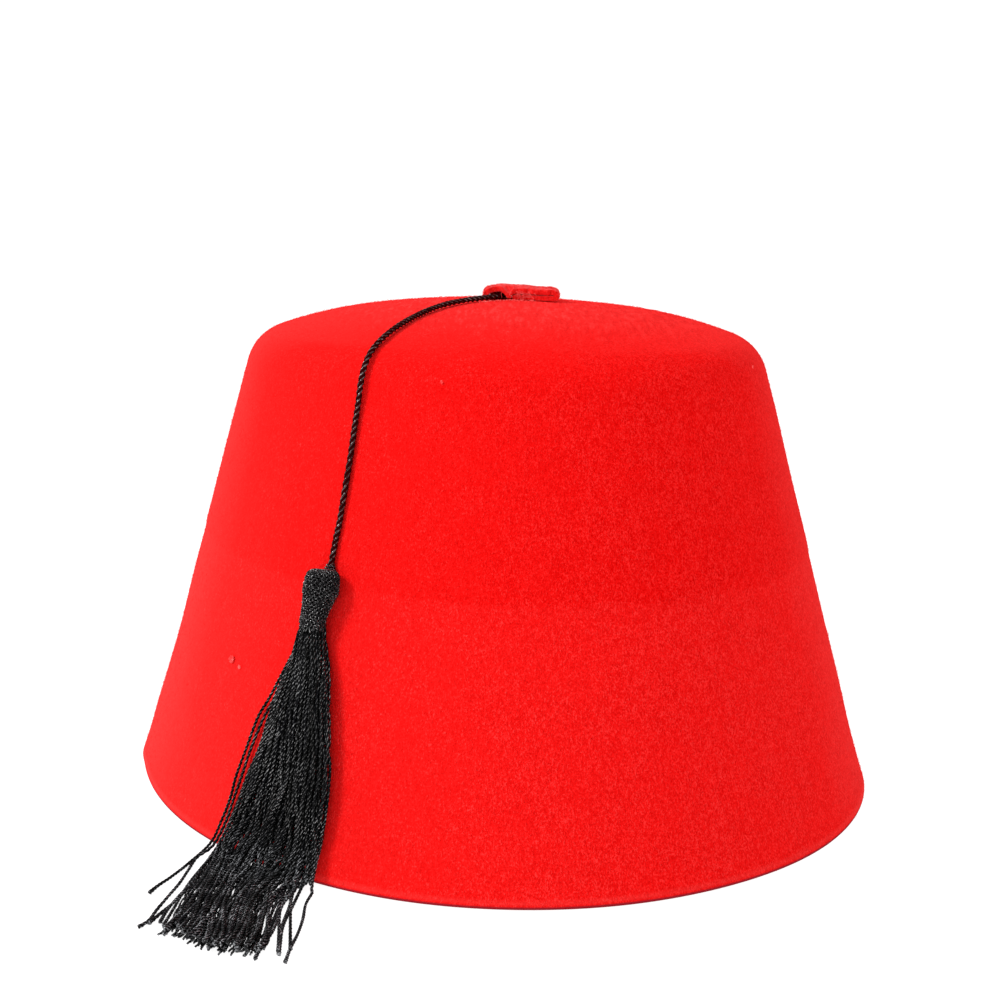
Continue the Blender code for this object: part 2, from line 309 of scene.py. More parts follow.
class Term:
    """A shader value that Python's operators act on."""

    __add__ = operator("ADD")
    __radd__ = operator("ADD", swapped=True)
    __sub__ = operator("SUBTRACT")
    __rsub__ = operator("SUBTRACT", swapped=True)
    __mul__ = operator("MULTIPLY")
    __rmul__ = operator("MULTIPLY", swapped=True)
    __truediv__ = operator("DIVIDE")
    __pow__ = operator("POWER")

    def __init__(self, shader: "Shader", socket: bpy.types.NodeSocket) -> None:
        """Keep the socket and the shader that it belongs to."""
        self.shader = shader
        self.socket = socket

    def __abs__(self) -> "Term":
        """Take the size without the sign."""
        return self.maths("ABSOLUTE", self)

    def maths(self, operation: str, *values: "Term | float") -> "Term":
        """Add one Math node with its inputs in order."""
        sockets = dict(enumerate(values))
        return self.shader.node("ShaderNodeMath", {"operation": operation}, sockets).term(0)

    def cosine(self) -> "Term":
        """Take the cosine of an angle in radians."""
        return self.maths("COSINE", self)

    def at_least(self, low: float) -> "Term":
        """Hold the value at or over a number."""
        return self.maths("MAXIMUM", self, low)

    def clamp(self) -> "Term":
        """Hold the value between 0 and 1."""
        return self.maths("MINIMUM", self.at_least(0.0), 1.0)


class Node:
    """One shader node, whose outputs are read as terms."""

    def __init__(self, shader: "Shader", node: bpy.types.Node) -> None:
        """Keep the node and the shader that it belongs to."""
        self.shader = shader
        self.node = node

    def term(self, output: int | str) -> Term:
        """Read one output as a term."""
        return Term(self.shader, self.node.outputs[output])


class Shader:
    """The nodes of one material, or of the surroundings."""

    def __init__(self, owner: bpy.types.Material | bpy.types.World) -> None:
        """Start with no nodes.

        Args:
            owner: The material or the world that the nodes belong to.
        """
        self.owner = owner
        owner.use_nodes = True
        self.tree = owner.node_tree
        self.tree.nodes.clear()

    @classmethod
    def material(cls, name: str) -> "Shader":
        """Start a new material."""
        return cls(bpy.data.materials.new(name))

    def node(
        self,
        kind: str,
        settings: dict[str, object] | None = None,
        sockets: dict[int | str, object] | None = None,
    ) -> Node:
        """Add any node: its settings first, then its sockets.

        Args:
            kind: The node's type.
            settings: Properties of the node; "stops" holds a ramp's (place, value) pairs.
            sockets: Values or terms by input name or number.

        Returns:
            The new node.
        """
        node = self.tree.nodes.new(kind)
        for name, value in (settings or {}).items():
            if name == "stops":
                self._set_stops(node.color_ramp, value)
            else:
                setattr(node, name, value)
        for key, value in (sockets or {}).items():
            if isinstance(value, Term):
                self.tree.links.new(value.socket, node.inputs[key])
            else:
                node.inputs[key].default_value = value
        return Node(self, node)

    @staticmethod
    def _set_stops(ramp: bpy.types.ColorRamp, stops: Sequence[tuple[float, float]]) -> None:
        """Give a ramp its grey stops.

        Args:
            ramp: The ramp.
            stops: Its (place, value) pairs.
        """
        while len(ramp.elements) < len(stops):
            ramp.elements.new(0.5)
        for element, (place, value) in zip(ramp.elements, stops):
            element.position = place
            element.color = (value, value, value, 1.0)

    def spots(self, scale: Triple) -> Term:
        """Object coordinates in millimetres, times a scale on each axis.

        Args:
            scale: How many pattern units lie in a millimetre on each axis.

        Returns:
            The coordinates as a vector.
        """
        place = self.node("ShaderNodeTexCoord").term("Object")
        size = tuple(value / MM for value in scale)
        return self.node("ShaderNodeMapping", {}, {"Vector": place, "Scale": size}).term("Vector")

    def place(self) -> Node:
        """Object coordinates in millimetres, axis by axis."""
        return self.node("ShaderNodeSeparateXYZ", {}, {0: self.spots((1.0, 1.0, 1.0))})

    def noise(
        self,
        scale: Triple,
        detail: float = 2.0,
        rough: float = 0.5,
        twist: float = 0.0,
    ) -> Term:
        """Noise on object coordinates.

        Args:
            scale: Pattern units in a millimetre on each axis.
            detail: How many finer layers there are.
            rough: How strong the finer layers are.
            twist: How far the noise distorts itself.

        Returns:
            The noise's value, about 0.5.
        """
        sockets = {
            "Vector": self.spots(scale),
            "Scale": 1.0,
            "Detail": detail,
            "Roughness": rough,
            "Distortion": twist,
        }
        return self.node("ShaderNodeTexNoise", {"noise_dimensions": "3D"}, sockets).term(0)

    def mix(self, share: Term, low: object, high: object) -> Term:
        """Mix two colours by a share."""
        sockets = {0: share, 6: low, 7: high}
        return self.node("ShaderNodeMix", {"data_type": "RGBA"}, sockets).term(2)

    def ramp(self, value: Term, stops: Sequence[tuple[float, float]]) -> Term:
        """Run a value through a grey ramp."""
        return self.node("ShaderNodeValToRGB", {"stops": stops}, {"Fac": value}).term(0)

    def bump(self, height: Term, strength: float, distance: float) -> Term:
        """Turn a height from 0 to 1 into a normal, by its full reach in millimetres."""
        sockets = {"Height": height, "Strength": strength, "Distance": distance * MM}
        return self.node("ShaderNodeBump", {}, sockets).term(0)

    def principled(self, sockets: dict[str, object]) -> bpy.types.Material:
        """Close the material with a Principled shader.

        Args:
            sockets: Its inputs by name.

        Returns:
            The finished material.
        """
        shader = self.node("ShaderNodeBsdfPrincipled", {}, sockets).term(0)
        self.node("ShaderNodeOutputMaterial", {}, {"Surface": shader})
        return self.owner


def rgba(colour: Colour) -> tuple[float, float, float, float]:
    """Give a colour full alpha."""
    return (*colour, 1.0)


@dataclass(frozen=True)
class FeltFinish:
    """Matted wool felt: short curly fibres, a little more matted in some patches than in others.

    Below the pressed line the felt is a shade lighter. Towards the left, the side that the light
    falls on, the felt is made paler and its grain weaker. Towards the right its pale tufts are
    fewer. These are painted light and painted shade. A painted sheen pales the felt where it turns
    away from the view. Where "rise" names a mesh attribute with heights over the rim, a painted
    contact shadow darkens the cut edge and a painted band of light bounced from the floor pales the
    felt over it.
    """

    name: str
    deep: Colour
    light: Colour
    pale: Colour = (0.95, 0.05, 0.048)
    # Colour of the painted contact shadow along the cut edge.
    rim: Colour = (0.26, 0.012, 0.02)
    rise: str = ""
    rim_band: float = 4.0
    grain: float = 1.1
    upright: float = 0.55
    relief: float = 0.5
    sheen: float = 0.014
    sheen_roughness: float = 0.5
    pressed_line: float = PRESSED_LINE

    def make(self) -> bpy.types.Material:
        """Make the felt's material.

        Returns:
            The material.
        """
        shader = Shader.material(self.name)
        wide = (self.grain, self.grain, self.grain * self.upright)
        long_curls = 1.0 - abs(shader.noise(wide, 1.0, 0.5, 0.9) - 0.5) * 8.0
        fine = tuple(value * 1.8 for value in wide)
        short_curls = 1.0 - abs(shader.noise(fine, 1.0, 0.5, 0.6) - 0.5) * 6.0
        grit = shader.noise(tuple(value * 3.2 for value in wide), 2.0, 0.6)
        streaks = shader.noise((1.2, 1.2, 0.14), 2.0, 0.6)
        curls = long_curls.at_least(0.0) * 0.26 + short_curls.at_least(0.0) * 0.42
        patches = shader.noise((0.11, 0.11, 0.09), 2.0, 0.55)
        place = shader.place()
        side, height = place.term(0) / SPAN + 0.5, place.term(2)
        # Painted light: the grain is washed out towards the left, the side that the light falls on.
        light_washed_grain = shader.ramp(side, ((0.1, 0.5), (0.45, 0.66), (0.68, 1.0)))
        calm = shader.ramp(patches, ((0.35, 0.75), (0.62, 1.0))) * light_washed_grain
        on_top = shader.ramp(height / SPAN, ((0.565, 0.0), (0.59, 2.2)))
        combed = (shader.noise((0.9, 0.16, 0.3), 2.0, 0.65) - 0.5) * on_top
        mottle = (curls + grit * 1.7 + streaks * 0.4 - 1.3) * calm + combed + 0.5
        wander = shader.noise((0.09, 0.09, 0.2), 2.0) * 2.4 - 1.2
        # Below the pressed line the felt is made a shade lighter and paler.
        below = ((self.pressed_line - height + wander) / 1.4 + 0.5).clamp()
        share = (shader.ramp(mottle, ((0.16, 0.0), (0.84, 1.0))) * 0.9 + 0.1 * below).clamp()
        # Painted sheen: the felt is made paler where its surface turns away from the view.
        edge = shader.node("ShaderNodeLayerWeight", {}, {"Blend": 0.5}).term("Facing")
        painted_edge_sheen = shader.ramp(edge, ((0.58, 0.0), (0.88, 0.3)))
        # Painted shade: the pale tufts are made fewer towards the right, the side away from the
        # light.
        tufts_shaded_right = shader.ramp(side, ((0.1, 0.95), (0.45, 1.0), (0.68, 0.62)))
        # Painted light: the felt is made paler towards the left, the lit side.
        painted_left_sheen = shader.ramp(side, ((0.08, 0.26), (0.25, 0.08), (0.45, 0.03), (0.68, 0.0)))
        # The felt's own pale tufts, with the painted light and sheen added to them.
        tufts_and_painted_light = (share**7.0) * tufts_shaded_right * (1.0 - 0.3 * below) + 0.03 * below + painted_edge_sheen + painted_left_sheen
        if self.rise:
            rise = shader.node("ShaderNodeAttribute", {"attribute_name": self.rise}).term("Fac")
            rise = rise / self.rim_band
            # Painted light: a pale band just over the cut edge, as light bounced from the floor.
            tufts_and_painted_light = tufts_and_painted_light + shader.ramp(rise, ((0.24, 0.0), (0.36, 0.28), (0.46, 0.2), (0.62, 0.0)))
        colour = shader.mix(share, rgba(self.deep), rgba(self.light))
        colour = shader.mix(tufts_and_painted_light.clamp(), colour, rgba(self.pale))
        if self.rise:
            # Painted contact shadow: the cut edge at the foot is darkened.
            painted_rim_shadow = shader.ramp(rise, ((0.17, 0.95), (0.25, 0.0)))
            colour = shader.mix(painted_rim_shadow, colour, rgba(self.rim))
        return shader.principled({
            "Base Color": colour,
            "Roughness": 0.94 - 0.12 * share,
            "Normal": shader.bump(mottle, self.relief, 0.22),
            "Specular IOR Level": 0.0,
            "Sheen Weight": self.sheen,
            "Sheen Roughness": self.sheen_roughness,
            "Sheen Tint": (1.0, 0.97, 0.96, 1.0),
        })


@dataclass(frozen=True)
class FibreFinish:
    """Single wool fibres that stand off the felt, or threads frayed from it."""

    name: str
    deep: Colour
    light: Colour
    sheen: float = 0.1

    def make(self) -> bpy.types.Material:
        """Make the fibres' material.

        Returns:
            The material.
        """
        shader = Shader.material(self.name)
        share = shader.ramp(shader.noise((0.9, 0.9, 0.9), 1.0), ((0.3, 0.0), (0.7, 1.0)))
        return shader.principled({
            "Base Color": shader.mix(share, rgba(self.deep), rgba(self.light)),
            "Roughness": 0.9,
            "Specular IOR Level": 0.1,
            "Sheen Weight": self.sheen,
            "Sheen Roughness": 0.45,
            "Sheen Tint": (1.0, 0.8, 0.78, 1.0),
        })


@dataclass(frozen=True)
class YarnFinish:
    """Twisted artificial silk: near black, with small bright glints along its plies' crests.

    Low over the surface the coat is nearly off, and the glints are painted into the base colour as
    duller grey spots on the crests.
    """

    name: str
    deep: Colour
    light: Colour
    plies: int = 3
    gloss: float = 0.17
    glint: tuple[float, float] = (0.01, 1.0)
    grain: float = 2.3
    # Colour of the glints painted into the base colour low over the surface.
    painted_low_glint: Colour = (0.42, 0.43, 0.45)

    def make(self) -> bpy.types.Material:
        """Make the yarn's material.

        Returns:
            The material.
        """
        shader = Shader.material(self.name)
        fibres = shader.noise((5.0, 5.0, 5.0), 2.0, 0.6)
        unrolled = shader.node("ShaderNodeTexCoord").term("UV")
        unrolled = shader.node("ShaderNodeSeparateXYZ", {}, {0: unrolled})
        wave = (unrolled.term(1) * (self.plies * math.tau)).cosine()
        off_caps = shader.ramp(unrolled.term(0), ((0.0, 0.0), (0.004, 1.0)))
        crest = shader.ramp(wave * 0.5 + 0.5, ((0.54, 0.0), (0.92, 1.0))) * off_caps
        glow = shader.noise((self.grain, self.grain, self.grain), 1.0)
        bright = shader.ramp(shader.noise((0.2, 0.2, 0.13), 1.0), ((0.38, 0.42), (0.6, 1.0)))
        painted_low_glint = shader.ramp(shader.place().term(2) / SPAN, ((0.025, 1.0), (0.055, 0.0)))
        spark = shader.ramp(glow, ((0.42, self.glint[0]), (0.58, self.glint[1]))) * bright
        body = shader.mix(fibres, rgba(self.deep), rgba(self.light))
        # Painted glints: grey spots on the crests low down, in place of the coat's reflections.
        grey = painted_low_glint * crest * (0.02 + 0.78 * spark * spark)
        return shader.principled({
            "Base Color": shader.mix(grey, body, rgba(self.painted_low_glint)),
            "Roughness": 0.55,
            "Normal": shader.bump(fibres, 0.12, 0.05),
            "Specular IOR Level": 0.0,
            "Coat Weight": crest * spark * (1.0 - 0.93 * painted_low_glint),
            "Coat Roughness": self.gloss,
            "Coat IOR": 4.0,
            "Sheen Weight": 0.0,
        })


@dataclass(frozen=True)
class FloorFinish:
    """Plain white surface, lit from below as on a light table, so that shadows on it stay pale."""

    name: str = "floor_white"
    colour: Colour = (0.3, 0.3, 0.3)
    glow: float = 0.92

    def make(self) -> bpy.types.Material:
        """Make the floor's material.

        Returns:
            The material.
        """
        return Shader.material(self.name).principled({
            "Base Color": rgba(self.colour),
            "Roughness": 0.9,
            "Specular IOR Level": 0.0,
            "Emission Color": WHITE,
            "Emission Strength": self.glow,
        })


RED_FELT = FeltFinish(
    "red_felt_body", (0.66, 0.0002, 0.0002), (0.98, 0.0065, 0.006), relief=0.7, rise="rise"
)
RED_TAB_FELT = FeltFinish(
    "red_felt_tab", (0.66, 0.0008, 0.0008), (0.98, 0.012, 0.012), relief=0.7, sheen=0.25
)
RED_NAP = FibreFinish("red_nap", (0.66, 0.0015, 0.0015), (0.92, 0.02, 0.02))
# Pale tab nap, laid mostly on the top: the felt's own fuzz, and a painted sheen that makes the top
# paler than the front.
TAB_NAP = FibreFinish("red_tab_nap", (0.76, 0.006, 0.006), (0.96, 0.10, 0.10), sheen=0.18)
PINK_THREAD = FibreFinish("pale_frayed_thread", (0.90, 0.05, 0.05), (0.98, 0.19, 0.18), sheen=0.0)
BLACK_YARNS = (
    YarnFinish("black_silk_deep", (0.002, 0.002, 0.002), (0.008, 0.008, 0.008), glint=(0.0, 0.8)),
    YarnFinish("black_silk_soft", (0.003, 0.003, 0.003), (0.012, 0.012, 0.013), gloss=0.24),
    YarnFinish("black_silk_bright", (0.002, 0.002, 0.003), (0.010, 0.010, 0.011), gloss=0.12),
)
KNIT_YARNS = (
    YarnFinish("black_silk_knit", (0.007, 0.006, 0.007), (0.021, 0.019, 0.020), 2, 0.22),
    YarnFinish("black_silk_knit_soft", (0.009, 0.008, 0.009), (0.027, 0.024, 0.026), 2, 0.32),
)
# The faint red in the black cord's colour is a painted reflection of the red felt.
BLACK_CORD = YarnFinish(
    "black_cord_silk", (0.012, 0.0006, 0.0006), (0.04, 0.0025, 0.0025), plies=3, glint=(0.02, 0.45)
)


# ---- view and surroundings


@dataclass(frozen=True)
class View:
    """The camera at the photograph's angle."""

    spot: Triple = (-0.00405, -0.39086, 0.14761)
    ahead: Triple = (0.0, 0.97965323, -0.20069764)
    roll: float = 0.04738
    focal_pixels: float = 1542.44
    sensor: float = 36.0

    def build(self) -> None:
        """Make the camera and give it to the scene."""
        ahead = Vector(self.ahead).normalized()
        right = ahead.cross(Vector((0.0, 0.0, 1.0))).normalized()
        up = right.cross(ahead)
        across = right * math.cos(self.roll) + up * math.sin(self.roll)
        upward = up * math.cos(self.roll) - right * math.sin(self.roll)
        data = bpy.data.cameras.new("camera")
        data.sensor_width = self.sensor
        data.lens = self.focal_pixels * self.sensor / IMAGE_SIDE
        data.clip_start = 0.01
        data.clip_end = 50.0
        camera = Bench.add("camera", data)
        turn = Matrix((across, upward, -ahead)).transposed().to_4x4()
        camera.matrix_world = Matrix.Translation(self.spot) @ turn
        bpy.context.scene.camera = camera
        bpy.context.scene.view_settings.view_transform = "Standard"


@dataclass(frozen=True)
class Lamp:
    """One square area light."""

    name: str
    spot: Triple
    side: float
    power: float
    colour: Colour = (1.0, 1.0, 1.0)

    def build(self, target: Triple) -> None:
        """Make the light, turned to a target.

        Args:
            target: The point that it faces.
        """
        data = bpy.data.lights.new(self.name, "AREA")
        data.shape = "SQUARE"
        data.size = self.side
        data.energy = self.power
        data.color = self.colour
        lamp = Bench.add(self.name, data)
        lamp.location = self.spot
        ahead = Vector(target) - Vector(self.spot)
        lamp.rotation_euler = ahead.to_track_quat("-Z", "Y").to_euler()


@dataclass(frozen=True)
class Studio:
    """White floor, even white surroundings, and soft lamps."""

    floor_side: float = 24.0
    walls: dict[Triple, float] = field(default_factory=lambda: {
        (-1.0, 0.0, 0.0): 0.1,
        (-0.8, 0.6, 0.0): 1.15,
        (1.0, 0.0, 0.0): 0.86,
        (0.0, -1.0, 0.0): 0.42,
        (0.0, 0.0, 1.0): 1.38,
    })
    backdrop: float = 1.05
    lamps: tuple[Lamp, ...] = (Lamp("key_lamp", (-1.15, -0.55, 1.0), 0.42, 13.5),)
    target: Triple = (0.0, 0.0, 0.05)
    floor: FloorFinish = field(default_factory=FloorFinish)

    def build(self) -> None:
        """Make the floor, the surroundings and the lamps."""
        bpy.ops.object.select_all(action="DESELECT")
        bpy.ops.mesh.primitive_plane_add(size=self.floor_side, location=(0.0, 0.0, 0.0))
        floor = bpy.context.object
        floor.name = "floor"
        Bench.settle(floor)
        floor.data.materials.append(self.floor.make())
        bpy.context.scene.world = self.surroundings()
        for lamp in self.lamps:
            lamp.build(self.target)

    def surroundings(self) -> bpy.types.World:
        """White walls and ceiling of different brightness, behind an even white backdrop.

        Returns:
            The world.
        """
        world = bpy.data.worlds.new("surroundings")
        shader = Shader(world)
        way = shader.node("ShaderNodeTexCoord").term("Generated")
        light = 0.0
        for side, strength in self.walls.items():
            ends = {0: way, 1: side}
            facing = shader.node("ShaderNodeVectorMath", {"operation": "DOT_PRODUCT"}, ends)
            light = facing.term("Value").at_least(0.0) ** 2.0 * strength + light
        seen = shader.node("ShaderNodeLightPath").term("Is Camera Ray")
        strength = light * (1.0 - seen) + self.backdrop * seen
        white = {"Color": WHITE, "Strength": strength}
        shade = shader.node("ShaderNodeBackground", {}, white).term(0)
        shader.node("ShaderNodeOutputWorld", {}, {"Surface": shade})
        return world


# ---- hat's form


@dataclass(frozen=True)
class HatForm:
    """The felt body's form, which every other piece lies on."""

    rim_radius: float = 94.5
    top_radius: float = 63.5
    height: float = 121.4
    dome_rise: float = 11.75
    sink_depth: float = 1.85
    sink_radius: float = 36.3
    shoulder_radius: float = 11.7
    lean: float = 1.48
    shift: tuple[float, float] = (-1.5, 1.0)
    lobes: tuple[tuple[int, float, float], ...] = ((2, 1.34, -45.0), (3, 1.83, 19.2))
    bend: float = 9.0

    @property
    def slope(self) -> float:
        """How much the wall's radius falls for each unit of height."""
        return (self.rim_radius - self.top_radius) / (self.height - self.dome_rise)

    @property
    def wall_angle(self) -> float:
        """The wall's angle from upright, in radians."""
        return math.atan(self.slope)

    @property
    def dome_radius(self) -> float:
        """Radius of the top's arc."""
        return (self.top_radius**2 + self.dome_rise**2) / (2 * self.dome_rise)

    def place(self, bearing: Array, radius: Array, height: Array) -> Array:
        """Place points of the round body on the leaning, slightly out-of-round hat.

        Args:
            bearing: Bearings in radians.
            radius: Distances from the axis.
            height: Heights over the rim.

        Returns:
            Points in millimetres, one row each.
        """
        share = np.clip(height / self.height, 0.0, 1.0)
        lobes = sum(
            depth * np.cos(count * (bearing - math.radians(crest)))
            for count, depth, crest in self.lobes
        )
        wall = self.rim_radius - self.slope * height
        radius = radius + lobes * (1 - share) * radius / wall
        lean = math.radians(self.lean)
        across = -radius * np.sin(bearing)
        deep = -radius * np.cos(bearing) + self.shift[1]
        return np.stack(
            [across - lean * height + self.shift[0], deep, height + share * lean * across], axis=-1
        )

    def sink(self, radius: Array) -> Array:
        """How far the soft top lies below its arc at a distance from the axis."""
        return self.sink_depth * np.exp(-((radius / self.sink_radius) ** 4))

    def top(self, across: Array, deep: Array) -> Array:
        """Height of the top's outer side above points near its middle.

        Args:
            across: The points' X.
            deep: The points' Y.

        Returns:
            The heights.
        """
        lean = math.radians(self.lean)
        local = across + lean * self.height - self.shift[0]
        radius = np.hypot(local, deep - self.shift[1])
        drop = self.dome_radius - np.sqrt(self.dome_radius**2 - radius**2)
        return self.height - drop - self.sink(radius) + lean * local

    def drape(self, along: Array) -> tuple[Array, Array]:
        """The draped line: down the wall, round a soft bend, and out along the surface.

        Args:
            along: Distances along it.

        Returns:
            Its points as (out, up) rows, and its outward normals in the same form.
        """
        wall = np.array([-math.sin(self.wall_angle), math.cos(self.wall_angle)])
        floor = np.array([1.0, 0.0])
        t = np.clip((along + self.bend) / (2 * self.bend), 0.0, 1.0)[:, None]
        spot = self.bend * (wall * (1 - t) ** 2 + floor * t**2)
        spot += wall * np.maximum(-along - self.bend, 0.0)[:, None]
        spot += floor * np.maximum(along - self.bend, 0.0)[:, None]
        ahead = unit(floor * t - wall * (1 - t))
        return spot, np.stack([-ahead[:, 1], ahead[:, 0]], axis=1)

    def draped(self, bearing: Array, along: Array, proud: Array) -> Array:
        """Points laid on the wall and the surface.

        Args:
            bearing: Bearings in degrees.
            along: Distances along the draped line.
            proud: Distances off what they lie on.

        Returns:
            Points in millimetres, one row each.
        """
        spot, normal = self.drape(along)
        spot = spot + normal * proud[:, None]
        height = np.maximum(spot[:, 1], 0.0)
        return self.place(np.radians(bearing), self.rim_radius + spot[:, 0], height)


# ---- felt body


@dataclass
class FeltBody:
    """The hollow felt body, with the soft forms that a pressed body has.

    A wave holds its count round the body, its length, its depth and its start. Bearings and their
    widths are in radians here.
    """

    form: HatForm
    felt: float = 2.3
    sides: int = 288
    wall_rows: int = 62
    shoulder_rows: int = 14
    dome_rows: int = 26
    edge_radius: float = 0.85
    edge_steps: int = 5
    crease_height: float = PRESSED_LINE
    crease_width: float = 1.6
    crease_depth: float = 0.28
    waves: tuple[tuple[int, float, float, float], ...] = (
        (3, 40.0, 0.16, 0.4),
        (5, 55.0, 0.12, 1.9),
        (8, 70.0, 0.09, 0.7),
        (13, 34.0, 0.05, 2.6),
    )
    wave_sway: float = 2.2
    wave_ends: tuple[float, float] = (12.0, 16.0)
    wave_stop: float = 6.0
    rim_waves: tuple[tuple[int, float, float], ...] = ((7, 0.05, 0.5), (11, 0.04, 2.0))
    kink_bearing: float = math.radians(79.0)
    kink_width: float = 0.055
    kink_depth: float = 0.45
    kink_fade: float = 3.5
    full_bearings: tuple[float, float] = (1.12, -0.9)
    full_width: float = 0.4
    full_depth: float = 0.5
    full_fade: float = 10.0
    lip_depth: float = 0.4
    lip_fade: float = 2.0
    tassel_bearing: float = 0.55
    tassel_width: float = 0.26

    def side_profile(self, side: Side) -> Array:
        """Radius and height along one side of the felt, from the rim to the top's middle.

        Args:
            side: The outer or the inner side.

        Returns:
            The profile's points, one row each.
        """
        form = self.form
        inset = 0.0 if side is Side.OUTER else self.felt
        outward = np.array([math.cos(form.wall_angle), math.sin(form.wall_angle)])
        upward = np.array([-outward[1], outward[0]])
        dome = np.array([0.0, form.height - form.dome_radius])
        start = np.array([form.rim_radius, 0.0]) - outward * form.shoulder_radius - dome
        half = start @ upward
        rest = start @ start - (form.dome_radius - form.shoulder_radius) ** 2
        centre = dome + start + upward * (math.sqrt(half**2 - rest) - half)
        low = form.wall_angle
        high = math.atan2(centre[1] - dome[1], centre[0])
        reach = form.shoulder_radius - inset
        wall_end = centre + outward * reach
        heights = np.linspace(self.edge_radius, wall_end[1], self.wall_rows, endpoint=False)
        foot = form.rim_radius - inset / math.cos(form.wall_angle)
        wall = np.stack([foot - form.slope * heights, heights], axis=1)
        turn = np.linspace(low, high, self.shoulder_rows, endpoint=False)[:, None]
        shoulder = centre + reach * np.hstack([np.cos(turn), np.sin(turn)])
        turn = np.linspace(high, math.pi / 2, self.dome_rows)[:, None]
        top = dome + (form.dome_radius - inset) * np.hstack([np.cos(turn), np.sin(turn)])
        top[:, 1] -= form.sink(top[:, 0])
        return np.vstack([wall, shoulder, top])

    def profile(self) -> Array:
        """The whole profile: top's middle, outer side, rounded rim, and inner side back up.

        Returns:
            Radius and height of its points, one row each.
        """
        outer = self.side_profile(Side.OUTER)
        inner = self.side_profile(Side.INNER)
        turn = np.linspace(0.0, math.pi / 2, self.edge_steps + 1)[1:]
        reach = self.edge_radius
        down = reach * (1 - np.sin(turn))
        outer_edge = np.stack([outer[0, 0] - reach * (1 - np.cos(turn)), down], axis=1)
        inner_edge = np.stack([inner[0, 0] + reach * (1 - np.cos(turn)), down], axis=1)
        return np.vstack([outer[::-1], outer_edge, inner_edge[::-1], inner])

    def relief(self, bearing: Array, height: Array) -> Array:
        """How far the wall stands out of its plain form.

        It has the pressed line, slow waves, a small kink in the rim, and a rim that is fuller at
        the front's two sides and plain behind the tassel.

        Args:
            bearing: Bearings in radians.
            height: Heights over the rim.

        Returns:
            Offsets away from the axis.
        """
        line = self.crease_height + 0.9 * np.sin(bearing - 0.5) + 0.4 * np.sin(3 * bearing)
        below = ease((line - height) / self.crease_width + 0.5)
        lower = ease((height - 4.0) / 18.0)
        out = -self.crease_depth * below * lower
        low, high = self.wave_ends
        fade = ease(height / low) * ease((self.form.height - self.wave_stop - height) / high)
        for count, length, depth, start in self.waves:
            sway = self.wave_sway * np.sin(height / length + start)
            swing = np.sin(count * bearing + start + sway)
            out = out + depth * swing * np.sin(height / length * math.tau + 1.7 * start) * fade
        kink = hump(bearing, self.kink_bearing, self.kink_width) * np.exp(-height / self.kink_fade)
        full = sum(hump(bearing, spot, self.full_width) for spot in self.full_bearings)
        flare = self.full_depth * full * np.exp(-height / self.full_fade)
        flare = flare + self.lip_depth * np.exp(-height / self.lip_fade)
        plain_rim = hump(bearing, self.tassel_bearing, self.tassel_width)
        return out + self.kink_depth * kink + flare * (1.0 - plain_rim)

    def rim_lift(self, bearing: Array, height: Array) -> Array:
        """How far the soft cut edge lifts off the surface.

        Args:
            bearing: Bearings in radians.
            height: Heights over the rim.

        Returns:
            Lifts, which fade out above the edge.
        """
        lift = sum(depth * (1 + np.sin(count * bearing + start))
                   for count, depth, start in self.rim_waves)
        return lift * np.exp(-height / 2.5) * 0.5

    def model(self) -> Piece:
        """Draw the profile, spin it about the axis and shape the body.

        Returns:
            The felt body.
        """
        profile = self.profile()
        spots = np.stack([profile[:, 0], np.zeros(len(profile)), profile[:, 1]], axis=1)
        body = Bench.chain("felt_body", spots * MM)
        with Bench.editing(body):
            bpy.ops.mesh.spin(
                steps=self.sides, angle=math.tau, center=(0.0, 0.0, 0.0), axis=(0.0, 0.0, 1.0)
            )
        Bench.close(body)
        corners = Bench.corners(body)
        bearing = np.arctan2(-corners[:, 0], -corners[:, 1])
        radius = np.hypot(corners[:, 0], corners[:, 1])
        height = corners[:, 2]
        rise = body.data.attributes.new("rise", "FLOAT", "POINT")
        rise.data.foreach_set("value", height.astype(np.float32))
        radius = radius + self.relief(bearing, height) * np.minimum(radius / 40.0, 1.0)
        height = height + self.rim_lift(bearing, height)
        Bench.reshape(body, self.form.place(bearing, radius, height))
        body.data.shade_smooth()
        return body

    def dress(self, body: Piece) -> None:
        """Give the body its felt and its place in the frame.

        Args:
            body: The felt body.
        """
        body.data.materials.append(RED_FELT.make())
        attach(body, "root")
        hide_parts("crown")


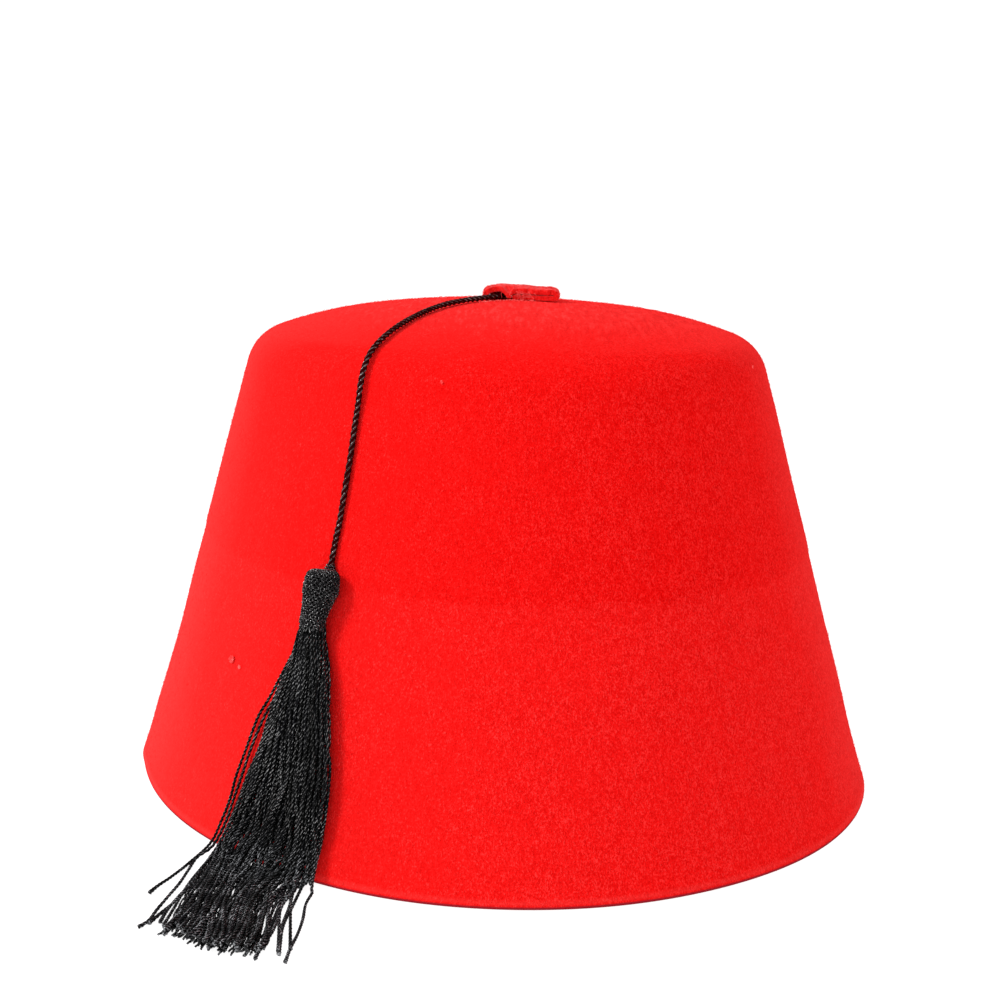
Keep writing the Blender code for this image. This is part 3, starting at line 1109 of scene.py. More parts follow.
@dataclass
class Nap:
    """Short wool fibres that lie loose on the felt, as one joined mesh."""

    name: str
    count: int
    length: tuple[float, float] = (0.5, 1.25)
    width: tuple[float, float] = (0.030, 0.050)
    lift: tuple[float, float] = (0.06, 0.30)
    spread: float = 0.85
    root_depth: float = 0.08
    clearance: float = 0.01
    seed: int = 5

    def roots(self, piece: Piece, outside: Outside) -> tuple[Array, Array]:
        """Spread roots evenly over part of a piece's surface.

        Args:
            piece: The felt that carries the fibres.
            outside: Tells from the triangles' normals which triangles carry them.

        Returns:
            The roots and the surface's normals there.
        """
        mesh = piece.data
        mesh.calc_loop_triangles()
        count = len(mesh.loop_triangles)
        corners = np.empty(count * 3, dtype=np.int32)
        mesh.loop_triangles.foreach_get("vertices", corners)
        spots = Bench.corners(piece)[corners.reshape(-1, 3)]
        outward = np.cross(spots[:, 1] - spots[:, 0], spots[:, 2] - spots[:, 0])
        # Blender's order of faces and corners changes from run to run, so both are sorted first.
        order = np.lexsort((spots[..., 2], spots[..., 1], spots[..., 0]))
        spots = np.take_along_axis(spots, order[..., None], axis=1)
        order = np.lexsort(spots.reshape(count, 9).T)
        spots, outward = spots[order], outward[order]
        face = np.cross(spots[:, 1] - spots[:, 0], spots[:, 2] - spots[:, 0])
        face *= np.sign((face * outward).sum(axis=1))[:, None]
        area = np.linalg.norm(face, axis=1)
        normals = face / np.maximum(area, 1e-12)[:, None]
        area = area * outside(normals)
        rng = np.random.default_rng(self.seed)
        picked = rng.choice(count, self.count, p=area / area.sum())
        one, two = rng.random((2, self.count, 1))
        fold = one + two > 1
        one, two = np.where(fold, 1 - one, one), np.where(fold, 1 - two, two)
        first, second, third = (spots[picked, k] for k in range(3))
        return first + (second - first) * one + (third - first) * two, normals[picked]

    def model(self, piece: Piece, outside: Outside) -> Piece:
        """Lay the fibres: each one a narrow curled strip with a pointed end.

        Args:
            piece: The felt that carries the fibres.
            outside: Tells from the triangles' normals which triangles carry them.

        Returns:
            The fibres as one object.
        """
        root, normal = self.roots(piece, outside)
        rng = np.random.default_rng(self.seed + 1)
        size = (self.count, 1)
        side = np.cross(normal, np.array([0.0, 0.0, 1.0]))
        side[np.linalg.norm(side, axis=1) < 0.05] = (1.0, 0.0, 0.0)
        side = unit(side)
        down = np.cross(side, normal)
        lean = rng.normal(0.0, self.spread, size) + np.pi * (rng.random(size) < 0.3)
        curl = lean + rng.normal(0.0, 0.9, size)
        reach = rng.uniform(*self.length, size)
        lift = rng.uniform(*self.lift, size)
        first = down * np.cos(lean) + side * np.sin(lean)
        second = down * np.cos(curl) + side * np.sin(curl)
        middle = root + first * reach * 0.5 + normal * lift
        tip = middle + second * reach * 0.5 + normal * lift * rng.uniform(-0.6, 0.9, size)
        roll = rng.uniform(0.0, math.pi, size)
        flat = np.cross(first, normal) * np.cos(roll) + normal * np.sin(roll)
        half = flat * rng.uniform(*self.width, size) / 2
        base = root - normal * self.root_depth
        spots = np.stack([base - half, base + half, middle - half, middle + half, tip], axis=1)
        spots[:, :, 2] = np.maximum(spots[:, :, 2], self.clearance)
        starts = np.arange(self.count)[:, None] * 5
        quads = (starts + np.array([0, 1, 3, 2])).tolist()
        tips = (starts + np.array([2, 3, 4])).tolist()
        return Bench.mesh(self.name, spots.reshape(-1, 3), quads + tips)

    @staticmethod
    def dress(nap: Piece, finish: FibreFinish, slot: str) -> None:
        """Give fibres their finish and let them ride with the hat.

        Args:
            nap: The fibres.
            finish: Their finish.
            slot: The name of their material slot; not used.
        """
        nap.data.materials.append(finish.make())
        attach(nap, "root")


# ---- tab


@dataclass
class FoldedTab:
    """A narrow felt strip folded over at its right end, with the cord coming out of its left.

    A place where the upper layer is sewn down holds where it starts and how soon, first across
    and then in depth on one side, -1 for the front.
    """

    form: HatForm
    centre: tuple[float, float] = (-1.1, -0.6)
    felt: float = 1.42
    depth: float = 9.0
    waist: float = 0.84
    waist_width: float = 3.0
    fold_centre: tuple[float, float] = (7.9, 1.33)
    fold_radius: float = 0.75
    fold_steps: int = 8
    lower: tuple[float, ...] = (-2.4, 1.0, 4.5)
    upper: Rows = (
        (5.0, 2.16),
        (1.6, 2.30),
        (-0.6, 2.42),
        (-2.6, 2.50),
        (-5.0, 2.50),
        (-7.2, 2.36),
        (-8.5, 1.85),
        (-9.0, 1.05),
        (-9.05, 0.0),
    )
    bed: tuple[float, float] = (0.05, 1.27)
    rows: int = 12
    bevel: float = 0.28
    ragged: Rows = ((0.10, 2.3, 1.0), (0.07, 5.1, 0.0))
    sewn: Rows = (
        (-5.5, 2.3, -1.0, 2.1, 1.8),
        (-9.0, 1.2, 1.0, 0.6, 2.4),
    )
    clearance: float = 0.3

    def line(self) -> Array:
        """The strip's middle line: lower layer, fold and upper layer, as (across, above) rows.

        Returns:
            Its points, one row each.
        """
        level = self.fold_centre[1] - self.fold_radius
        lower = np.array([(across, level) for across in self.lower])
        turn = np.linspace(-math.pi / 2, math.pi / 2, self.fold_steps + 1)[:, None]
        fold = self.fold_radius * np.hstack([np.cos(turn), np.sin(turn)]) + self.fold_centre
        upper = catmull(np.vstack([fold[-1], self.upper]), 4)
        return np.vstack([catmull(np.vstack([lower, fold[0]]), 3)[:-1], fold, upper[1:]])

    def model(self) -> Piece:
        """Draw the strip's line, extrude it across, thicken it, round it and lay it on the top.

        Returns:
            The tab.
        """
        line = self.line()
        spots = np.stack([line[:, 0], np.full(len(line), -self.depth / 2), line[:, 1]], axis=1)
        tab = Bench.chain("folded_tab", spots * MM)
        with Bench.editing(tab):
            for _ in range(self.rows):
                step = (0.0, self.depth / self.rows * MM, 0.0)
                bpy.ops.mesh.extrude_region_move(TRANSFORM_OT_translate={"value": step})
        Bench.close(tab)
        Bench.finish(tab, "SOLIDIFY", thickness=self.felt * MM, offset=0.0, use_even_offset=True)
        Bench.close(tab)
        Bench.finish(
            tab, "BEVEL", width=self.bevel * MM, segments=2, limit_method="ANGLE",
            angle_limit=math.radians(50),
        )
        Bench.finish(tab, "SUBSURF", levels=1, render_levels=1)
        Bench.reshape(tab, self.laid(Bench.corners(tab)))
        Bench.close(tab)
        tab.data.shade_smooth()
        return tab

    def laid(self, spots: Array) -> Array:
        """Give the plain folded strip its waist, its sewn-down sides and its place on the top.

        Args:
            spots: The strip's corners, one row each.

        Returns:
            Their places on the hat.
        """
        waist = 1 - (1 - self.waist) * hump(spots[:, 0], 0.0, self.waist_width)
        ragged = sum(
            depth * np.sin(spots[:, 0] * pace + start) for depth, pace, start in self.ragged
        )
        edge = ease(np.abs(spots[:, 1]) / (self.depth / 2))
        across = spots[:, 0] + self.centre[0] + 0.06 * np.sin(spots[:, 1] * 2.9) * edge
        deep = spots[:, 1] * waist + self.centre[1] + ragged * edge * np.sign(spots[:, 1])
        upper = ease((spots[:, 2] - 0.9) / 0.6)
        table = np.array(self.upper)[::-1]
        foot = np.interp(spots[:, 0], table[:, 0], table[:, 1]) - self.felt / 2
        bed = self.bed[0] + (self.bed[1] - self.bed[0]) * ease((spots[:, 0] + 3.1) / 0.9)
        gap = np.maximum(foot - bed, 0.0)
        held = [
            ease((spots[:, 0] - start) / fade) * ease((side * spots[:, 1] - near) / reach)
            for start, fade, side, near, reach in self.sewn
        ]
        before_fold = ease((7.4 - spots[:, 0]) / 1.5)
        above = spots[:, 2] - np.maximum(*held) * before_fold * upper * gap
        above += 0.05 * np.sin(spots[:, 0] * 1.1 + 0.6) * upper
        height = above + self.form.top(across, deep) + self.clearance
        return np.stack([across, deep, height], axis=1)

    def dress(self, tab: Piece) -> None:
        """Give the tab its felt and its place in the frame.

        Args:
            tab: The folded tab.
        """
        tab.data.materials.append(RED_TAB_FELT.make())
        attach(tab, "root")
        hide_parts("stem_tab")


@dataclass
class FrayedThreads:
    """Pale threads that hang loose at the tab's front, where its folded end is sewn down."""

    form: HatForm
    tab: FoldedTab
    count: int = 30
    span: tuple[float, float] = (-5.0, 1.6)
    reach: tuple[float, float] = (1.2, 2.8)
    foot_count: int = 80
    foot_span: tuple[float, float] = (-11.5, 3.0)
    flecks: tuple[tuple[float, float, float, int], ...] = (
        (-41.1, 47.5, 0.95, 60),
        (-40.2, 44.9, 0.5, 12),
        (-110.9, -64.5, 0.4, 12),
        (-110.0, 12.1, 0.45, 7),
    )
    seed: int = 31

    def lines(self) -> list[Array]:
        """Draw the threads out of the fold, and the short ones that lie on the felt before it.

        Returns:
            A few points of each, with heights over the top.
        """
        rng = np.random.default_rng(self.seed)
        front = self.tab.centre[1] - self.tab.depth / 2 * self.tab.waist
        found = []
        for _ in range(self.count):
            across = rng.uniform(*self.span)
            reach = rng.uniform(*self.reach)
            way = rng.choice([-1.0, 1.0]) * reach
            above = rng.uniform(0.9, 1.9)
            found.append(np.array([
                (across, front + 0.9, above),
                (across + 0.25 * way, front - 0.15, above + rng.uniform(-0.1, 0.35)),
                (across + 0.6 * way, front - rng.uniform(0.3, 0.7), above + rng.uniform(-0.5, 0.2)),
                (across + way * rng.uniform(0.5, 1.0), front - rng.uniform(0.1, 0.6),
                 rng.uniform(0.1, 0.9)),
            ]))
        for _ in range(self.foot_count):
            across = rng.uniform(*self.foot_span)
            front_line = front + 0.2 - 0.62 * max(-3.2 - across, 0.0) - 0.4
            deep = front_line - abs(rng.normal(0.0, 1.3))
            turn = rng.uniform(0.0, math.tau)
            reach = rng.uniform(0.3, 1.0)
            step = np.array([math.cos(turn), math.sin(turn) * 0.6]) * reach
            found.append(np.array([
                (across, deep, 0.05),
                (across + step[0] * 0.5, deep + step[1] * 0.5, rng.uniform(0.1, 0.35)),
                (across + step[0], deep + step[1] + rng.normal(0, 0.2), 0.1),
            ]))
        return found

    def fleck_lines(self) -> list[Array]:
        """Draw the pale flecks: small matted tufts of curled fibres that cling to the felt.

        Returns:
            Three points of each fibre in millimetres.
        """
        rng = np.random.default_rng(self.seed + 1)
        found = []
        for along, bearing, reach, count in self.flecks:
            for _ in range(count):
                turn = rng.uniform(0.0, math.tau, 3)
                away = reach * np.sqrt(rng.random(3))
                lift = rng.uniform(0.05, 0.3, 3)
                rows = along + away * np.sin(turn)
                bearings = bearing + np.degrees(away * np.cos(turn) / 80.0)
                found.append(self.form.draped(bearings, rows, lift))
        return found

    def model(self) -> Piece:
        """Sweep the threads and join them in one mesh.

        Returns:
            The threads.
        """
        lines = [catmull(spots, 5) for spots in self.fleck_lines()]
        for spots in self.lines():
            line = catmull(spots, 5)
            line[:, 2] += self.form.top(line[:, 0], line[:, 1]) + 0.05
            lines.append(line)
        thread = Yarn(1, 0.13, 3.0, 5, 0.14)
        return thread.sweep("frayed_threads", lines, [PINK_THREAD], 33, swell=0.2)

    def dress(self, threads: Piece) -> None:
        """Let the threads ride with the hat."""
        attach(threads, "root")


# ---- yarn


@dataclass(frozen=True)
class Yarn:
    """A twisted yarn or cord: round plies side by side, wound at a pitch."""

    plies: int
    diameter: float
    pitch: float
    sides: int
    step: float
    groove: float = 0.5
    end_reach: float = 2.2

    def section(self) -> Piece:
        """Draw the yarn's section as a closed curve.

        Returns:
            The curve object, which the sweep uses and then removes.
        """
        ply_share = 0.5 / (1 + (1 / math.sin(math.pi / self.plies) if self.plies > 1 else 0))
        ply = self.diameter * ply_share
        centre = self.diameter / 2 - ply
        curve = bpy.data.curves.new("yarn_section", "CURVE")
        spline = curve.splines.new("POLY")
        spline.points.add(self.sides - 1)
        spline.use_cyclic_u = True
        for number, point in enumerate(spline.points):
            turn = number / self.sides * math.tau
            reach = self.diameter / 2 * self.groove
            for place in range(self.plies):
                away = turn - place / self.plies * math.tau
                chord = ply**2 - (centre * math.sin(away)) ** 2
                if chord >= 0.0 and math.cos(away) > 0.0:
                    reach = max(reach, centre * math.cos(away) + math.sqrt(chord))
            point.co = (reach * math.cos(turn) * MM, reach * math.sin(turn) * MM, 0.0, 1.0)
        return Bench.add("yarn_section", curve)

    def sweep(
        self,
        name: str,
        lines: Sequence[Array],
        finishes: Sequence[YarnFinish],
        seed: int = 3,
        turn: Turn | None = None,
        swell: float = 0.04,
        end_swell: float = 0.0,
    ) -> Piece:
        """Wind the yarn along lines and join the result in one mesh.

        Args:
            name: The new object's name.
            lines: The lines that the yarns follow, in millimetres.
            finishes: The finishes that the yarns take by turns.
            seed: What the yarns' small differences start from.
            turn: Which way the plies wind, or None for either way.
            swell: How much a yarn's thickness varies, as a share.
            end_swell: How much thicker a yarn's cut end is, as a share.

        Returns:
            The yarns as one mesh object.
        """
        rng = np.random.default_rng(seed)
        section = self.section()
        curve = bpy.data.curves.new(name, "CURVE")
        curve.dimensions = "3D"
        curve.bevel_mode = "OBJECT"
        curve.bevel_object = section
        curve.use_fill_caps = True
        for finish in finishes:
            curve.materials.append(finish.make())
        for line in lines:
            spots = even(line, self.step)
            runs = np.arange(len(spots)) * self.step
            way = turn.value if turn else rng.choice(EITHER_TURN)
            pitch = self.pitch * rng.uniform(0.85, 1.18)
            slack = 0.9 * np.sin(runs / rng.uniform(4.0, 9.0) + rng.uniform(0, math.tau))
            tilt = way * (runs / pitch * math.tau + slack) + rng.uniform(0, math.tau)
            thick = 1 + swell * np.sin(runs / rng.uniform(1.7, 3.1) + rng.uniform(0, math.tau))
            thick = thick + end_swell * np.exp(-(runs[-1] - runs) / self.end_reach)
            spline = curve.splines.new("POLY")
            spline.points.add(len(spots) - 1)
            flat = np.hstack([spots * MM, np.ones((len(spots), 1))]).astype(np.float32)
            spline.points.foreach_set("co", flat.ravel())
            spline.points.foreach_set("tilt", tilt.astype(np.float32))
            spline.points.foreach_set("radius", thick.astype(np.float32))
            spline.material_index = int(rng.integers(len(finishes)))
        Bench.hold(Bench.add(name, curve))
        bpy.ops.object.convert(target="MESH")
        yarns = bpy.context.object
        bpy.data.objects.remove(section, do_unlink=True)
        Bench.close(yarns, 0.0005 * MM)
        yarns.data.shade_smooth()
        return yarns


@dataclass
class TasselCord:
    """The twisted cord from inside the tab's tunnel to the tassel's head."""

    yarn: Yarn = field(default_factory=lambda: Yarn(3, 1.42, 5.7, 18, 0.22, 0.62))
    diameter: float = 1.35
    press: float = 0.25
    shoulder_height: float = 106.0
    shoulder_rise: float = 9.0
    route: Rows = (
        (-5.4, -2.2, 120.55),
        (-7.4, -4.8, 120.45),
        (-10.4, -7.6, 120.2),
        (-14.9, -11.9, 119.7),
        (-19.3, -17.9, 119.0),
        (-23.3, -26.6, 117.95),
        (-26.9, -35.4, 116.5),
        (-30.1, -42.7, 114.6),
        (-32.5, -48.9, 112.5),
        (-34.2, -53.3, 110.2),
        (-35.2, -55.9, 107.2),
        (-35.8, -57.4, 103.6),
        (-36.1, -58.3, 99.6),
        (-36.5, -59.2, 95.7),
        (-36.9, -60.3, 91.4),
        (-37.3, -61.4, 87.2),
        (-37.8, -62.5, 83.0),
        (-38.3, -63.5, 78.8),
        (-38.8, -64.6, 74.4),
        (-39.5, -65.7, 70.2),
        (-40.3, -67.25, 64.45),
    )

    def line(self) -> Array:
        """The cord's centreline in millimetres, pressed a little into the nap.

        Returns:
            Its points, from the tab to the head.
        """
        line = catmull(np.array(self.route), 12)
        over = ease((line[:, 2] - self.shoulder_height) / self.shoulder_rise)[:, None]
        away = unit(line * np.array([1.0, 1.0, 0.0]))
        return line - self.press * unit(away * (1 - over) + np.array([0.0, 0.0, 1.0]) * over)

    def model(self) -> Piece:
        """Wind the cord along its route."""
        return self.yarn.sweep("cord", [self.line()], [BLACK_CORD], turn=Turn.RIGHT, swell=0.02)

    def dress(self, cord: Piece, head: Piece) -> None:
        """Args:
            cord: The cord.
            head: The tassel's head, which is on its far end; not used.
        """
        path = even(self.line(), 0.5) * MM
        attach(cord, "root")
        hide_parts("tassel_cord")


# ---- tassel


# Single yarns that lie apart from the bundle, as rows of along and bearing.
STRAYS: dict[str, Rows] = {
    "left_outer": (
        (-50.0, 31.6), (-42.5, 34.2), (-36.3, 36.3), (-31.2, 37.9), (-23.3, 39.1), (-17.1, 40.0),
        (-11.9, 40.3), (-6.0, 41.0), (1.2, 40.6), (10.0, 39.4), (17.4, 37.9), (21.7, 37.3),
        (25.0, 36.7),
    ),
    "left_second": (
        (-49.0, 31.4), (-41.0, 34.1), (-36.1, 35.4), (-31.0, 36.8), (-23.7, 38.1), (-17.7, 38.8),
        (-12.3, 39.5), (-6.0, 40.1), (1.7, 39.9), (7.5, 39.8), (12.9, 37.8), (17.9, 36.1),
        (22.2, 35.0), (28.7, 33.5), (33.0, 32.5), (36.1, 32.3),
    ),
    "left_third": (
        (-47.0, 31.6), (-39.1, 33.2), (-35.3, 34.4), (-31.1, 35.5), (-24.4, 36.5), (-18.2, 37.7),
        (-12.8, 38.4), (-7.0, 39.3), (0.6, 39.2), (7.9, 37.8), (15.9, 35.2), (22.7, 33.6),
        (29.9, 32.6), (33.8, 32.1),
    ),
    "left_short": (
        (-20.0, 35.0), (-9.0, 37.0), (-0.4, 38.1), (6.4, 37.5), (14.4, 35.5), (21.6, 34.0),
        (27.4, 32.7), (32.0, 31.5),
    ),
    "right_outer": (
        (-44.0, 26.2), (-34.0, 25.0), (-24.0, 24.1), (-15.8, 23.4), (-9.7, 23.3), (-3.5, 23.4),
        (3.0, 22.6), (4.9, 22.1), (9.5, 21.6), (15.5, 20.2), (21.5, 19.2), (26.9, 18.6),
        (32.1, 17.9),
    ),
    "right_second": (
        (-30.0, 25.4), (-18.0, 24.6), (-7.4, 23.9), (-1.5, 23.9), (3.9, 23.8), (11.8, 22.6),
        (19.1, 21.4), (25.7, 20.0), (29.7, 19.1),
    ),
    "right_third": (
        (-28.0, 26.4), (-16.0, 25.6), (-6.8, 25.2), (-0.7, 25.2), (4.9, 25.0), (7.7, 24.2),
        (18.5, 20.8), (24.5, 19.2), (27.3, 18.5),
    ),
    "right_inner": (
        (-26.0, 27.6), (-14.0, 26.9), (-4.3, 26.0), (1.9, 25.2), (11.2, 23.1), (19.2, 21.5),
        (25.4, 20.0), (30.0, 19.0),
    ),
    "cluster_first": (
        (-24.0, 26.2), (-13.0, 25.6), (-3.6, 25.4), (2.5, 25.9), (12.7, 24.0), (23.8, 21.8),
        (33.4, 20.5),
    ),
    "cluster_second": (
        (-24.0, 27.2), (-13.0, 26.6), (-4.1, 26.4), (3.5, 26.2), (12.6, 24.5), (22.6, 22.4),
        (29.9, 20.9),
    ),
    "cluster_third": (
        (-22.0, 25.2), (-12.0, 24.7), (-4.0, 24.5), (1.0, 24.8), (6.6, 24.5), (13.9, 23.4),
        (21.3, 21.3), (29.0, 19.3),
    ),
    "cluster_fourth": (
        (-24.0, 26.6), (-12.0, 26.0), (-1.8, 25.5), (3.5, 25.3), (10.7, 24.1), (20.0, 22.3),
        (26.7, 21.2),
    ),
    "left_fifth": (
        (-46.0, 31.8), (-36.8, 33.4), (-31.5, 34.4), (-25.3, 35.4), (-19.5, 36.2), (-13.4, 37.3),
        (-7.0, 38.4), (0.2, 38.7), (9.8, 37.3), (18.3, 34.8), (26.7, 32.3), (32.7, 30.8),
    ),
}


@dataclass
class Tassel:
    """Head, neck and skirt: one bundle of yarns, looped over at the top and laid on the wall.

    A row holds along, the bearings of the left and the right side, thickness and roundness.
    """

    form: HatForm
    rows: Rows = (
        (-67.0, 31.5, 25.8, 5.0, 1.0),
        (-64.0, 31.75, 25.7, 5.4, 1.0),
        (-62.0, 31.8, 25.7, 5.5, 1.0),
        (-60.0, 31.5, 26.3, 5.4, 1.0),
        (-57.0, 31.3, 27.0, 4.9, 1.0),
        (-54.0, 31.6, 27.2, 4.5, 0.8),
        (-51.0, 32.1, 27.0, 4.4, 0.45),
        (-47.0, 32.8, 26.0, 4.5, 0.15),
        (-43.0, 33.5, 25.1, 4.6, 0.0),
        (-36.0, 35.0, 24.1, 4.4, 0.0),
        (-24.0, 36.1, 22.75, 4.1, 0.0),
        (-13.0, 37.4, 22.65, 3.8, 0.0),
        (-3.0, 39.3, 22.9, 3.6, 0.0),
        (1.5, 39.3, 22.5, 3.5, 0.0),
        (6.0, 38.3, 22.7, 3.4, 0.0),
        (10.0, 37.1, 22.8, 3.2, 0.0),
        (14.0, 35.6, 22.3, 3.0, 0.0),
        (20.0, 33.7, 21.3, 2.8, 0.0),
        (25.0, 32.2, 20.1, 2.6, 0.0),
        (32.0, 30.5, 18.8, 2.3, 0.0),
        (39.0, 29.6, 18.6, 2.0, 0.0),
    )
    tips: tuple[float, ...] = (
        36.5, 37.0, 35.2, 34.9, 35.3, 35.6, 35.9, 36.0, 36.1, 34.0, 33.6, 33.8, 32.6, 6.5, 5.0, 3.2,
    )
    yarn: Yarn = field(default_factory=lambda: Yarn(3, 0.78, 3.6, 9, 0.32, 0.6))
    hidden_yarn: Yarn = field(default_factory=lambda: Yarn(1, 0.66, 4.0, 5, 0.9))
    count: int = 120
    station_step: float = 1.0
    longest: float = 42.0
    top_bend: float = -61.6
    top_end: float = -66.2
    corner: float = 2.4
    knit_yarn: Yarn = field(default_factory=lambda: Yarn(2, 0.5, 1.3, 6, 0.2, 0.5))
    knit_count: int = 20
    right_lift: float = 1.5
    end_lift: float = 0.19
    cut_height: float = 2.0
    cut_share: float = 0.1
    short_ends: tuple[float, float] = (6.0, 12.0)
    end_fade: float = 2.2
    end_swell: float = 0.35
    stray_start: tuple[float, float] = (1.6, 14.0)
    knit_turns: float = 0.78
    knit_shoulder: float = -64.5
    knit_top: float = -67.2
    knit_end: float = -53.6
    knit_boxy: float = 2.7
    knit_pole: float = 0.34
    knit_cleft: float = 0.75
    knit_weave: float = 0.16
    collar_turns: float = 3.0
    collar_reach: tuple[float, float] = (1.4, 0.72)
    split: float = -51.6
    lift: float = 0.3
    head_depth: float = 5.4
    wander: Rows = ((46.0, 0.22), (24.0, 0.15), (11.0, 0.06))
    free_from: tuple[float, float] = (-46.0, 40.0)
    tail_length: float = 14.0
    closeness: float = 0.93
    rounds: int = 90
    seed: int = 11
    strays: dict[str, Rows] = field(default_factory=lambda: STRAYS)

    @property
    def core(self) -> float:
        """How far the middle of the head lies off the wall."""
        return self.lift + self.head_depth / 2

    def envelope(self, along: Array) -> dict[str, Array]:
        """Read the tassel's outline at distances along it.

        Args:
            along: The distances.

        Returns:
            Middle bearing, half width, thickness, roundness and distance from the axis.
        """
        table = catmull(np.array(self.rows), 8)
        left, right, thick, rounded = (
            np.interp(along, table[:, 0], column) for column in table.T[1:]
        )
        reach = self.form.rim_radius + self.form.drape(along)[0][:, 0]
        half = np.radians(left - right) / 2 * reach
        return {"middle": (left + right) / 2, "half": half, "thick": thick,
                "round": np.clip(rounded, 0.0, 1.0), "reach": reach}

    def disc(self) -> Array:
        """Even places in a unit disc, one for each yarn.

        Returns:
            The places, one row each.
        """
        number = np.arange(self.count) + 0.5
        reach = np.sqrt(number / self.count)
        turn = number * GOLDEN_ANGLE
        return np.stack([reach * np.cos(turn), reach * np.sin(turn)], axis=1)

    def flat_shares(self) -> Array:
        """Even places across, for the front and the back yarns of the flattened bundle.

        Returns:
            One share a yarn, from -1 to 1.
        """
        disc = self.disc()
        share = np.empty(self.count)
        for half in (disc[:, 1] < 0, disc[:, 1] >= 0):
            order = np.argsort(np.argsort(disc[half, 0]))
            share[half] = (order + 0.5) / half.sum() * 2 - 1
        return share

    def pack(self, along: Array) -> Array:
        """Lay the yarns side by side and on each other, without one in another.

        Args:
            along: The stations' distances along the tassel.

        Returns:
            Across and proud for each station and yarn, in millimetres.
        """
        rng = np.random.default_rng(self.seed)
        shape = {name: value[:, None] for name, value in self.envelope(along).items()}
        disc = self.disc()
        half_yarn = self.yarn.diameter / 2
        start, length = self.free_from
        free = ease((along[:, None] - start) / length)
        wander = np.zeros((len(along), self.count))
        for length, size in self.wander:
            phase = rng.uniform(0.0, math.tau, (1, self.count))
            pace = rng.uniform(0.75, 1.3)
            wander += size * np.sin(along[:, None] / length * math.tau * pace + phase)
        tail = ease(along[:, None] / self.tail_length)
        flat = self.flat_shares()[None, :]
        share = disc[None, :, 0] * (1 - free) + flat * free + wander * free * (0.62 - 0.14 * tail)
        share += wander * 0.5 * (1 - free)
        share = np.clip(share, -1.0, 1.0)
        inside = shape["half"] - half_yarn
        across = share * inside
        arch = np.sqrt(np.maximum(1 - share**2, 0.05)) ** (1 - 0.6 * free)
        rounded = self.lift + shape["thick"] / 2 * (1 + disc[None, :, 1] * 0.86)
        layer = (disc[None, :, 1] / np.sqrt(np.maximum(1 - disc[None, :, 0] ** 2, 0.02)) + 1) / 2
        low = half_yarn + layer * np.maximum(shape["thick"] * arch - self.yarn.diameter, 0.3)
        apart = self.right_lift * ease((share + 0.3) / 1.2)
        apart = apart * (ease((along + 52.0) / 14.0) * ease((-3.0 - along) / 12.0))[:, None]
        low = low + apart
        proud = rounded * shape["round"] + low * (1 - shape["round"])
        spots = np.stack([across, proud], axis=2)
        held = spots.copy()
        loose = (1 - shape["round"])[:, :, None]
        floor = half_yarn + self.lift * ease(-along / self.form.bend)[:, None] + apart
        for _ in range(self.rounds):
            gap = spots[:, :, None, :] - spots[:, None, :, :]
            away = np.sqrt((gap**2).sum(axis=3)) + 1e-6
            near = np.maximum(self.yarn.diameter * self.closeness - away, 0.0)
            push = (gap / away[..., None] * near[..., None]).sum(axis=2)
            spots = spots + push * 0.35 * (0.25 + 0.75 * loose)
            spots[:, :, 1] -= 0.02 * loose[:, :, 0]
            spots += (held - spots) * np.array([0.03, 0.01]) * (1 + 12 * (1 - loose))
            relax(spots, 0.6)
            spots[:, :, 0] = np.clip(spots[:, :, 0], -inside - 0.3, inside + 0.3)
            spots[:, :, 1] = np.maximum(spots[:, :, 1], floor)
        for _ in range(6):
            relax(spots, 0.5)
        spots[:, :, 1] = np.maximum(spots[:, :, 1], floor)
        return spots

    def tip(self, share: float) -> float:
        """How far out a yarn ends that crosses the rim at a share of the width from the left."""
        return self.tips[min(max(int(share * len(self.tips)), 0), len(self.tips) - 1)]

    def loop(self, across: float, proud: float, place: Array) -> Array:
        """The top of one yarn, up over the head and down behind it.

        Args:
            across: Its place across at the bend's foot.
            proud: Its height off the wall there.
            place: Its place in the unit disc.

        Returns:
            Rows of along, across and proud, from behind to the bend's foot.
        """
        edge = max(self.corner - (1 - abs(place[0])) * 4.3, 0.0)
        drop = self.corner - math.sqrt(self.corner**2 - edge**2)
        inner = min(float(np.hypot(*place)), 1.0)
        rise = (self.top_bend - self.top_end - drop) * (0.5 + 0.5 * inner**2)
        turn = np.linspace(2.7 if place[1] > 0 else 1.2, 0.0, 12)
        along = self.top_bend - np.sin(turn) * rise
        height = self.core + (proud - self.core) * np.cos(turn)
        pinch = 1 - 0.12 * np.sin(turn) ** 2
        return np.stack([along, across * pinch, height], axis=1)

    def draw_in(self, rows: Array) -> Array:
        """Draw the head's inner yarns in, to lie under its knitted cover.

        Args:
            rows: One yarn's rows of along, across and proud.

        Returns:
            The rows with the head made slimmer.
        """
        fade = ease((self.knit_end - rows[:, 0] + 1.0) / 4.0)
        rows = rows.copy()
        rows[:, 1] *= 1 - 0.14 * fade
        rows[:, 2] = self.core + (rows[:, 2] - self.core) * (1 - 0.16 * fade)
        return rows

    def knit_profile(self) -> Array:
        """The head's cover from its drawn-in top to the neck, as (share of width, along) rows.

        Returns:
            Its rows.
        """
        turn = np.linspace(0.0, math.pi / 2, 24)
        share = np.sin(turn) ** (2 / self.knit_boxy)
        along = self.knit_shoulder - (self.knit_shoulder - self.knit_top) * np.cos(turn) ** (
            2 / self.knit_boxy
        )
        down = np.linspace(self.knit_shoulder, self.knit_end, 30)[1:]
        return np.vstack([np.column_stack([share, along]), np.column_stack([np.ones(29), down])])

